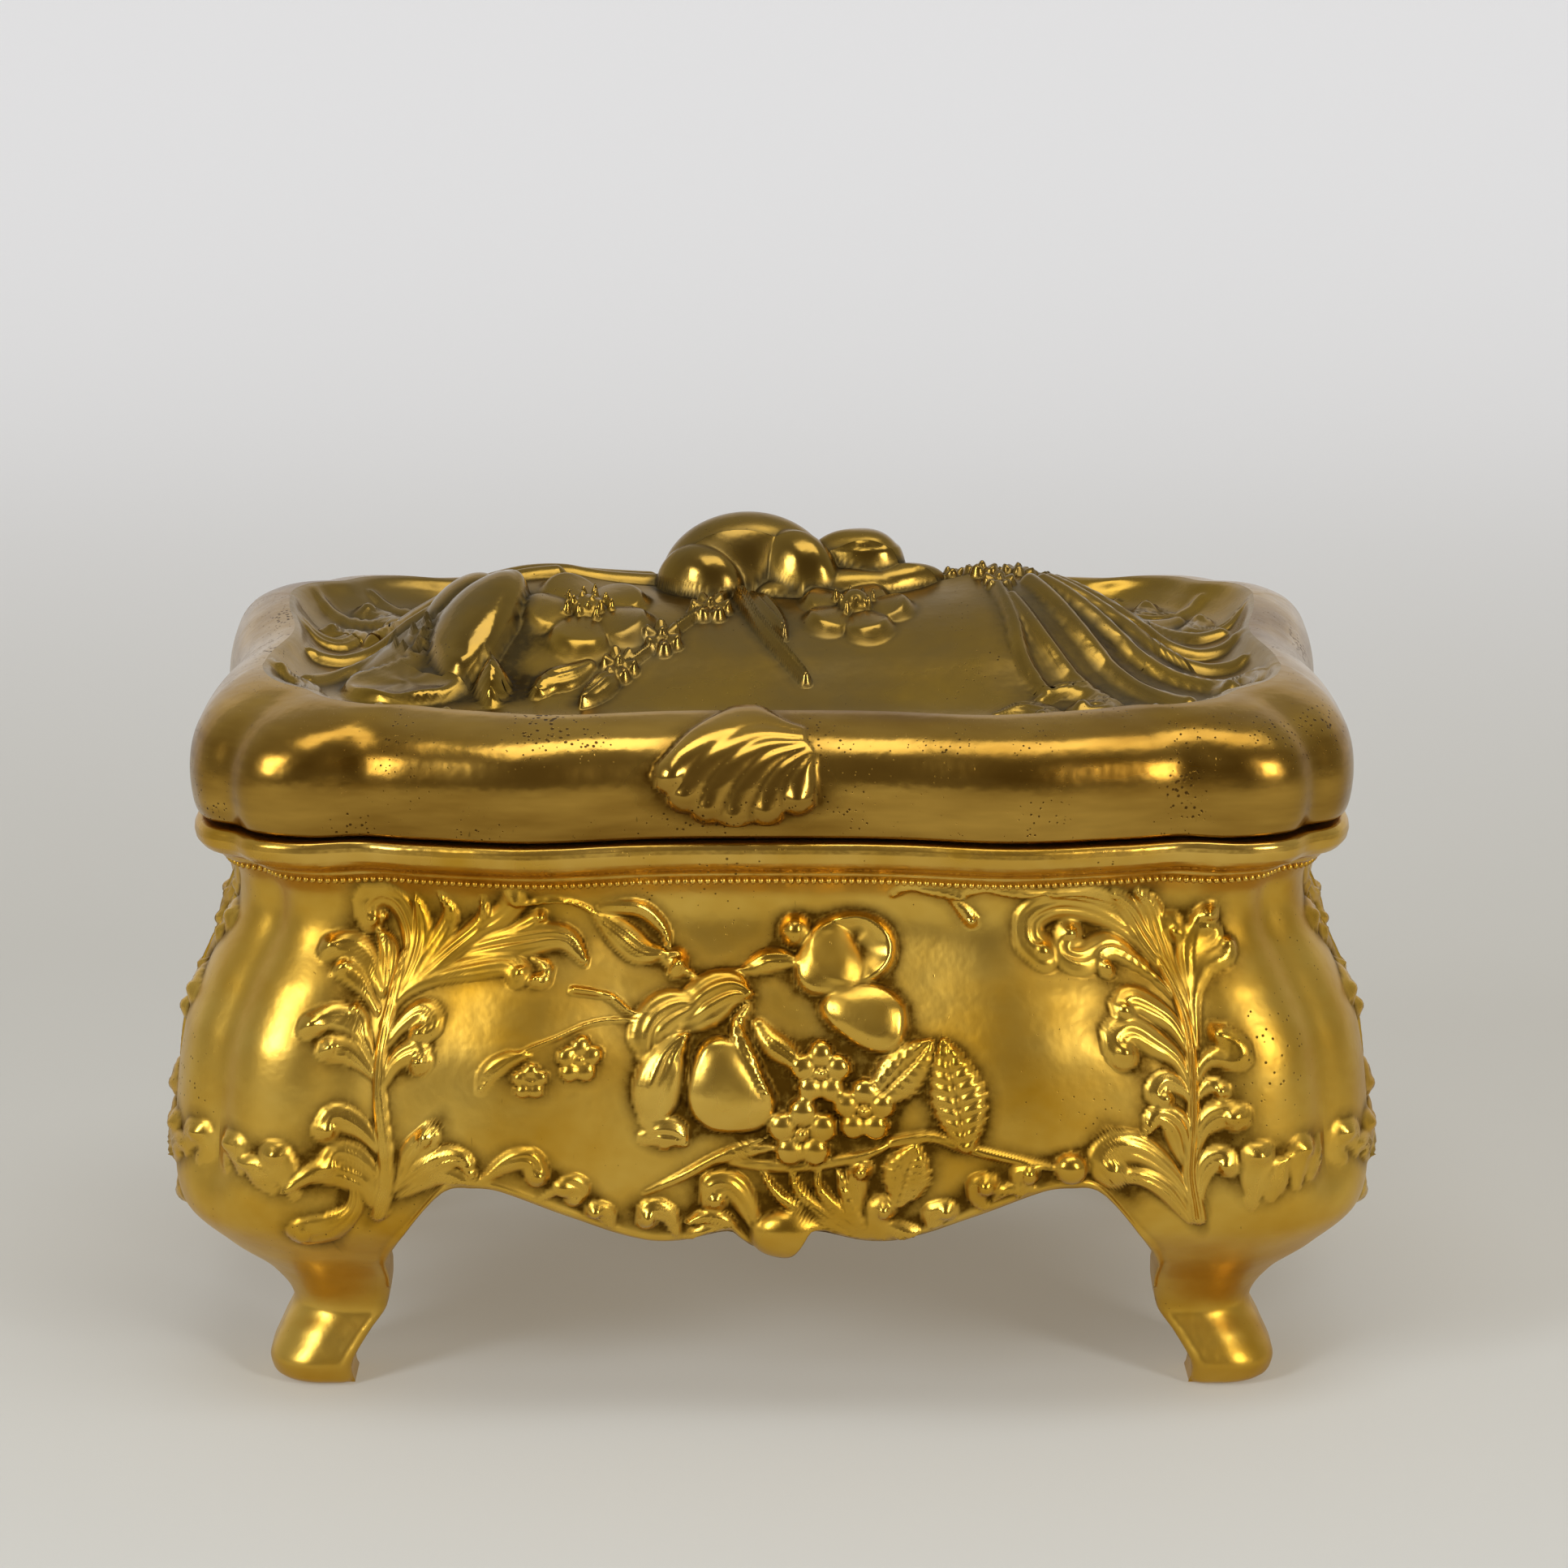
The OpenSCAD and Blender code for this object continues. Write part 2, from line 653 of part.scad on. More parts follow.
// Card that closes the lid's hollow, with its pad and cord underneath
card_play = 0.9;
pad_over = 1;
lid_margin = lip_inset + lid_wall + card_play;
lid_card_z = lid_z + pad_h + pad_over;
module lid_card() {
    color(card)
        translate([0, 0, lid_card_z])
            linear_extrude(height = card_t)
                polygon(lid_outline(lid_margin));
}

module lid_pad() {
    color(silk)
        translate([0, 0, lid_card_z])
            mirror([0, 0, 1])
                loft([for (s = pad_rings)
                    ring(lid_outline(lid_margin + 2 * cord_r + seat_gap + s[0], 1), s[1] * pad_h)]);
}

// Silk cord round the lid's pad
module lid_cord() {
    color(silk)
        translate([0, 0, lid_card_z - 2 * cord_r])
            linear_extrude(height = 2 * cord_r)
                difference() {
                    polygon(lid_outline(lid_margin));
                    polygon(lid_outline(lid_margin + 2 * cord_r));
                }
}

casket_body();
base_plate();
hinge_leaf_body();
hinge_leaf_lid();
hinge_pin();
body_rivets();
lid_rivets();
lid_casting();
wall_lining();
floor_card();
floor_cushion();
mouth_cord();
lid_card();
lid_pad();
lid_cord();
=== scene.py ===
import math
import bpy
import bmesh
import numpy as np
from mathutils import Matrix, Vector


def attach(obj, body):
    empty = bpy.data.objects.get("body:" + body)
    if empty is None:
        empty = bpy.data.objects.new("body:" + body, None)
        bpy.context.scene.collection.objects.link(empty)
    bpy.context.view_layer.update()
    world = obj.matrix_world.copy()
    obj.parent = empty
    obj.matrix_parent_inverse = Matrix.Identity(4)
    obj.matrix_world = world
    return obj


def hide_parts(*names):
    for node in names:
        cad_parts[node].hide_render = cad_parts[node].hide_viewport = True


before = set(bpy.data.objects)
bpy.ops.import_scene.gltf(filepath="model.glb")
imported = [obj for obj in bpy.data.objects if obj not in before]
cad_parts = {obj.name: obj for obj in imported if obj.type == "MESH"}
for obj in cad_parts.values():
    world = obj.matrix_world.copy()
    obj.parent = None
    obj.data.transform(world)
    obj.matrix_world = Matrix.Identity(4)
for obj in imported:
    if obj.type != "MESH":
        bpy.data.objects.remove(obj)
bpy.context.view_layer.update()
scene = bpy.context.scene
scene.view_settings.view_transform = "Standard"
mm = 0.001

# Sizes of the casket in millimetres, the same as the CAD model's
casket = {
    "width": 161.6, "depth": 107.0, "mouth": 79.0, "swell": 35.7,
    "wall": 2.2, "neckInset": 8.8, "rimInset": 3.4, "cornerRadius": 17.0,
    "frontSwell": 3.0, "groove": 1.2, "notch": 1.5, "sideDip": 2.4,
    "ankle": 10.5, "ankleInset": 15.2, "foot": 3.5, "footInset": 12.2,
    "arch": 33.3, "apron": 23.5, "apronTuck": 0.5, "rimHeight": 4.6, "ledge": 35.1,
}


def mix(a, b, s):
    return a + (b - a) * s


def ease(v):
    c = np.clip(v, 0, 1)
    return c * c * (3 - 2 * c)


def bell(u):
    return np.exp(-u * u)


def through(keys, p):
    # smooth curve through position and value pairs
    x, y = keys[:, 0], keys[:, 1]
    n = len(x) - 1
    i = np.clip(np.searchsorted(x, p, side="right") - 1, 0, n - 1)
    lo, hi = np.maximum(np.arange(n + 1) - 1, 0), np.minimum(np.arange(n + 1) + 1, n)
    slope = (y[hi] - y[lo]) / (x[hi] - x[lo])
    span = x[i + 1] - x[i]
    s = np.clip((p - x[i]) / span, 0, 1)
    return (y[i] * (2 * s**3 - 3 * s**2 + 1) + slope[i] * span * (s**3 - 2 * s**2 + s)
            + y[i + 1] * (3 * s**2 - 2 * s**3) + slope[i + 1] * span * (s**3 - s**2))


ankle, swell, mouth = casket["ankle"], casket["swell"], casket["mouth"]
neckInset, innerWall = casket["neckInset"], casket["wall"]
beadLine = mouth - casket["rimHeight"] - 1.6
archTop, apronLow = casket["arch"], casket["apron"]
foot, toe, shin = casket["foot"], casket["footInset"], casket["ankleInset"]
# the tub's profile: height and inset from the widest outline
insetKeys = np.array([
    [0, toe + 1], [foot * 0.4, toe + 0.3], [foot, toe], [(foot + ankle) / 2, (toe + shin * 1.1) / 2.1],
    [ankle, shin], [mix(ankle, swell, 0.2), shin * 0.79], [mix(ankle, swell, 0.4), shin * 0.42],
    [mix(ankle, swell, 0.65), shin * 0.06], [swell, 0],
    [mix(swell, beadLine, 0.38), neckInset * 0.17], [mix(swell, beadLine, 0.6), neckInset * 0.54],
    [mix(swell, beadLine, 0.78), neckInset * 0.94], [mix(swell, beadLine, 0.92), neckInset],
    [beadLine, 7.4], [mouth - 4.6, 6.0], [mouth - 3.68, 4.3], [mouth - 1.84, casket["rimInset"]],
    [mouth - 0.46, 3.8], [mouth, 4.4]])
radiusKeys = np.array([[0, 6.5], [ankle, 7.5], [mix(ankle, swell, 0.5), 14.45],
                       [swell, 20], [beadLine, 17], [mouth, 17]])
# the lower edge: place round the quarter's plan and height
frontEdge = np.array([
    [0, apronLow], [0.019, apronLow + 0.15], [0.031, apronLow + 1.5], [0.044, mix(apronLow, archTop, 0.3)],
    [0.099, mix(apronLow, archTop, 0.13)], [0.135, mix(apronLow, archTop, 0.15)],
    [0.214, mix(apronLow, archTop, 0.54)], [0.29, mix(apronLow, archTop, 0.95)],
    [0.322, archTop], [0.355, mix(apronLow, archTop, 0.9)], [0.386, mix(ankle, archTop, 0.66)],
    [0.43, mix(ankle, archTop, 0.36)], [0.45, ankle + 1], [0.465, 0]])
sideEdge = np.array([
    [0.79, 0], [0.802, ankle + 1], [0.82, mix(ankle, archTop, 0.38)],
    [0.845, mix(ankle, archTop, 0.72)], [0.87, mix(ankle, archTop, 0.97)],
    [0.9, mix(apronLow, archTop, 0.86)], [0.95, mix(apronLow, archTop, 0.34)],
    [0.975, mix(apronLow, archTop, 0.4)], [1, mix(apronLow, archTop, 0.12)]])
frontLeg, sideLeg = 0.465, 0.79


def edgeHeight(t):
    front = np.maximum(0, through(frontEdge, t))
    side = np.maximum(0, through(sideEdge, t))
    return np.where(t < frontLeg, front, np.where(t <= sideLeg, 0, side))


def frontWave(x, a):
    return (casket["frontSwell"] * bell((x / a - 0.42) / 0.165)
            - casket["groove"] * bell((x / a - 0.705) / 0.058))


def planPoint(t, a, b, r, lobes, tuck):
    # quarter of the plan: t is 0 at the front's middle and 1 at the side's middle
    x = t / 0.5 * (a - r)
    front = [x, b + lobes * frontWave(x, a) + tuck * (1 - ease((x / a - 0.4) / 0.22))]
    turn = 90 * (t - 0.5) / 0.25
    along = a - r + r * np.radians(turn)
    reach = r + lobes * (frontWave(along, a) - casket["notch"] * bell((turn - 45) / 11))
    q = np.radians(turn)
    corner = [a - r + reach * np.sin(q), b - r + reach * np.cos(q)]
    y = (1 - t) / 0.25 * (b - r)
    side = [a - lobes * casket["sideDip"] * bell(y / b * 3.4)
            + tuck * (1 - ease((y / b - 0.2) / 0.3)), y]
    return [np.where(t <= 0.5, front[k], np.where(t < 0.75, corner[k], side[k])) for k in (0, 1)]


def tubPoint(t, z, margin=0.0):
    inset = through(insetKeys, z)
    return planPoint(
        t, casket["width"] / 2 - inset - margin, casket["depth"] / 2 - inset - margin,
        np.maximum(3, through(radiusKeys, z) - margin),
        ease((z - ankle * 2.4) / ankle),
        np.where(z < swell, inset * (1 - casket["apronTuck"]), 0))


# The distance round the casket, from the middle of a front or back wall
straightFront, cornerArc, straightSide = 61.0, 26.7, 33.5
halfFront = straightFront + cornerArc / 2
halfSide = straightSide + cornerArc / 2


def stationAt(along, wallKind):
    # signed distance from a wall's middle to t, with t from 0 at the front to 1 at the side
    d = np.abs(along)
    if wallKind == "long":
        return np.where(d <= straightFront, d / straightFront * 0.5,
                        0.5 + (d - straightFront) / cornerArc * 0.25)
    return np.where(d <= straightSide, 1 - d / straightSide * 0.25,
                    0.75 - (d - straightSide) / cornerArc * 0.25)


def onSide(wall, along, x, y):
    # a quarter's point placed on the front, right, back or left wall
    sign = np.where(along < 0, -1.0, 1.0)
    if wall == "front":
        return x * sign, -y
    if wall == "back":
        return -x * sign, y
    if wall == "right":
        return x, y * sign
    return -x, -y * sign


def finishPiece(name, bm, material):
    mesh = bpy.data.meshes.new(name)
    bm.to_mesh(mesh)
    bm.free()
    piece = bpy.data.objects.new(name, mesh)
    scene.collection.objects.link(piece)
    mesh.materials.append(material)
    mesh.shade_smooth()
    return piece


def gridSheet(columns, rows, place, weld=None, flip=False):
    # a grid from the operator, bent to shape: place gets the column and row share of each vertex
    bm = bmesh.new()
    bmesh.ops.create_grid(bm, x_segments=columns, y_segments=rows, size=1)
    bm.verts.ensure_lookup_table()
    co = np.array([v.co[:2] for v in bm.verts])
    u, v = (co[:, 0] + 1) / 2, (co[:, 1] + 1) / 2
    x, y, z = place(u, v)
    for vert, px, py, pz in zip(bm.verts, x * mm, y * mm, z * mm):
        vert.co = (px, py, pz)
    if weld:
        bmesh.ops.remove_doubles(bm, verts=bm.verts, dist=weld)
    if flip:
        bmesh.ops.reverse_faces(bm, faces=bm.faces)
    return bm


# how near, in metres, two vertices are when a ring's ends or a middle are joined
seamWeld, middleWeld = 1e-7, 2.5e-5
# the flat on the back that carries the hinge
seat = {"half": 18.5, "y": 49.28, "from": 71.25, "blend": 0.8}
# where the legs' edges fall steeply, and how much closer the columns stand there
legEdge = {"long": 55.3, "short": 26.2, "spread": 2.6, "extra": 4}


def crowded(share, wallKind):
    # along a wall, with the columns closer beside the legs' edges
    half = halfFront if wallKind == "long" else halfSide
    spread = np.linspace(-half, half, 1601)
    weight = 1 + legEdge["extra"] * bell((np.abs(spread) - legEdge[wallKind]) / legEdge["spread"])
    total = np.cumsum(weight) - weight[0]
    return np.interp(share, total / total[-1], spread)


def aroundPlan(u, longShare=0.31, crowd=False):
    # once round the casket, counted from the front's left diagonal: t and the signs of x and y
    u = np.mod(u, 1.0)
    shortShare = 0.5 - longShare
    edges = [0, longShare, 0.5, 0.5 + longShare, 1.0000001]
    t, sx, sy = np.zeros_like(u), np.zeros_like(u), np.zeros_like(u)
    for k in range(4):
        here = (u >= edges[k]) & (u < edges[k + 1])
        wallKind, portion, half = (("long", longShare, halfFront), ("short", shortShare, halfSide))[k % 2]
        share = (u[here] - edges[k]) / portion
        along = crowded(share, wallKind) if crowd else (share * 2 - 1) * half
        sign = np.where(along < 0, -1.0, 1.0)
        t[here] = stationAt(along, wallKind)
        sx[here] = [sign, 1, -sign, -1][k] * np.ones_like(sign)
        sy[here] = [-1, sign, 1, -sign][k] * np.ones_like(sign)
    return t, sx, sy


def curveThrough(points, steps):
    # a smooth path through the points, with so many steps between each two
    p = np.array(points, float)
    ends = np.vstack([2 * p[0] - p[1], p, 2 * p[-1] - p[-2]])
    out = []
    for i in range(len(p) - 1):
        a, b, c, d = ends[i:i + 4]
        for k in range(steps):
            s = k / steps
            out.append(0.5 * (2 * b + (c - a) * s + (2 * a - 5 * b + 4 * c - d) * s * s
                              + (3 * b - a - 3 * c + d) * s**3))
    out.append(p[-1])
    return np.array(out)


def nearestOnPath(px, pz, path):
    # distance to a path, how far along it, and which side
    best = np.full(px.shape, 1e9)
    share, side = np.zeros(px.shape), np.zeros(px.shape)
    lengths = np.r_[0, np.cumsum(np.hypot(*np.diff(path, axis=0).T))]
    for i in range(len(path) - 1):
        ax, az = path[i]
        dx, dz = path[i + 1] - path[i]
        run = max(dx * dx + dz * dz, 1e-12)
        s = np.clip(((px - ax) * dx + (pz - az) * dz) / run, 0, 1)
        ex, ez = px - ax - s * dx, pz - az - s * dz
        d = np.hypot(ex, ez)
        near = d < best
        best = np.where(near, d, best)
        share = np.where(near, (lengths[i] + s * math.sqrt(run)) / lengths[-1], share)
        side = np.where(near, np.sign(dx * ez - dz * ex), side)
    return best, share, side


def strokeHeight(px, pz, kind, width, height, points):
    # a stem, a ridge, a curl that ends in a ball, or else a leaf, drawn along a path
    path = curveThrough(points, 5)
    d, s, side = nearestOnPath(px, pz, path)
    if kind == "stem":
        reach = width * (1.55 - 0.6 * s)
        u = np.clip(d / reach, 0, 1)
        return height * (1 - u * u) ** 0.7 * (1 - 0.22 * bell(u / 0.2) - 0.1 * np.cos(u * 11))
    if kind == "edge":
        u = np.clip(d / width, 0, 1)
        return height * (1 - u * u)
    if kind == "curl":
        reach = width * (0.7 + 1.15 * ease(s * 1.3))
        u = np.clip(d / reach, 0, 1)
        flute = 1 - 0.26 * bell((u * side - 0.15) / 0.13) - 0.16 * bell((u * side + 0.45) / 0.13)
        flute = flute - 0.1 * bell((u * side - 0.68) / 0.1)
        body = height * (0.45 + 0.45 * s) * (1 - u * u) ** 0.7 * flute
        ball = width * (1.0 + 0.25 / (0.4 + width))
        e = np.clip(np.hypot(px - path[-1, 0], pz - path[-1, 1]) / ball, 0, 1)
        return np.maximum(body, height * 1.15 * np.sqrt(1 - e * e))
    reach = width * 1.3 * np.sin(np.pi * np.clip(0.12 + 0.86 * s, 0, 1)) ** 0.7 + 0.02
    u = np.clip(d / reach, 0, 1)
    flute = 1 - 0.28 * bell(u / 0.13) - 0.16 * bell((u - 0.5) / 0.12)
    return height * (0.45 + 0.55 * ease(s * 2.4)) * (1 - u * u) ** 0.65 * flute


def formHeight(px, pz, kind, centre, rx, rz, turn, height):
    # a petal or another rounded form of the bouquet, about a centre
    q = math.radians(turn)
    dx, dz = px - centre[0], pz - centre[1]
    ex, ez = dx * math.cos(q) - dz * math.sin(q), dx * math.sin(q) + dz * math.cos(q)
    r = np.clip(np.hypot(ex / rx, ez / rz), 0, 1)
    if kind == "peak":
        # highest along its middle, pointed at both ends
        along = np.clip(1 - np.abs(ex / rx), 0, 1)
        across = np.clip(1 - (ez / rz / np.maximum(along**0.7, 0.05)) ** 2, 0, 1)
        return height * along**0.6 * across**0.8
    if kind == "cup":
        wave = 1 + 0.12 * np.sin(np.arctan2(ez, ex) * 5)
        return height * ease((1 - r) * 6) * (0.4 + 0.6 * r * r) * wave
    if kind == "wedge":
        # a three-cornered petal, a little rolled at its rim
        corner = 1 - 0.085 * np.cos(3 * np.arctan2(ez / rz, ex / rx))
        r = np.clip(np.hypot(ex / rx, ez / rz) / corner, 0, 1)
        return height * (np.sqrt(1 - r**2.6) + 0.06 * bell((r - 0.86) / 0.07))
    if kind == "petal":
        fold = 1 - 0.16 * bell((ex / rx + 0.2 * ez / rz) / 0.09) - 0.1 * np.cos(ex / rx * 8)
        return height * (1 - r**3) ** 0.6 * fold
    if kind == "dome":
        fold = 1 - 0.12 * bell((ex / rx - 0.45) / 0.1) - 0.1 * bell((ex / rx + 0.55) / 0.08)
        return height * np.sqrt(1 - r * r) * fold
    return height * np.sqrt(1 - r * r)


def flowerHeight(px, pz, centre, radius, height, petals, spin):
    # an open flower with a raised heart
    dx, dz = px - centre[0], pz - centre[1]
    angle = np.arctan2(dz, dx) + spin
    lobe = np.abs(np.cos(angle * petals / 2))
    reach = radius * (0.7 + 0.3 * lobe**0.6)
    r = np.clip(np.hypot(dx, dz) / reach, 0, 1)
    cup = ease((1 - r) * 4) * (0.35 + 0.65 * r * lobe)
    heart = np.clip(np.hypot(dx, dz) / (radius * 0.26), 0, 1)
    return height * np.maximum(cup * (r < 1), 1.05 * np.sqrt(1 - heart * heart))


def blossomHeight(px, pz, centre, radius, height, spin=0.3):
    # five round petals about a boss
    out = np.zeros(px.shape)
    for k in range(5):
        q = spin + k * 2 * math.pi / 5
        x, z = centre[0] + 0.6 * radius * math.cos(q), centre[1] + 0.6 * radius * math.sin(q)
        r = np.clip(np.hypot(px - x, pz - z) / (0.43 * radius), 0, 1)
        out = np.maximum(out, height * (0.4 + 0.6 * np.sqrt(1 - r * r)) * (r < 1))
    r = np.clip(np.hypot(px - centre[0], pz - centre[1]) / (0.26 * radius), 0, 1)
    return np.maximum(out, 1.1 * height * np.sqrt(1 - r * r))


def toothedLeafHeight(px, pz, base, tip, width, height):
    d, s, _ = nearestOnPath(px, pz, np.array([base, tip], float))
    teeth = 1 + 0.16 * (np.mod(s * 9, 1) - 0.5)
    reach = width * np.sin(np.pi * np.clip(0.1 + 0.9 * s, 0, 1)) ** 0.75 * teeth + 0.02
    u = np.clip(d / reach, 0, 1)
    veins = 1 - 0.22 * np.clip(np.cos((s * 9 - u * 0.9) * 2 * np.pi), 0, 1) ** 2
    return height * (1 - u**3) ** 0.6 * (1 - 0.35 * bell(u / 0.12)) * veins


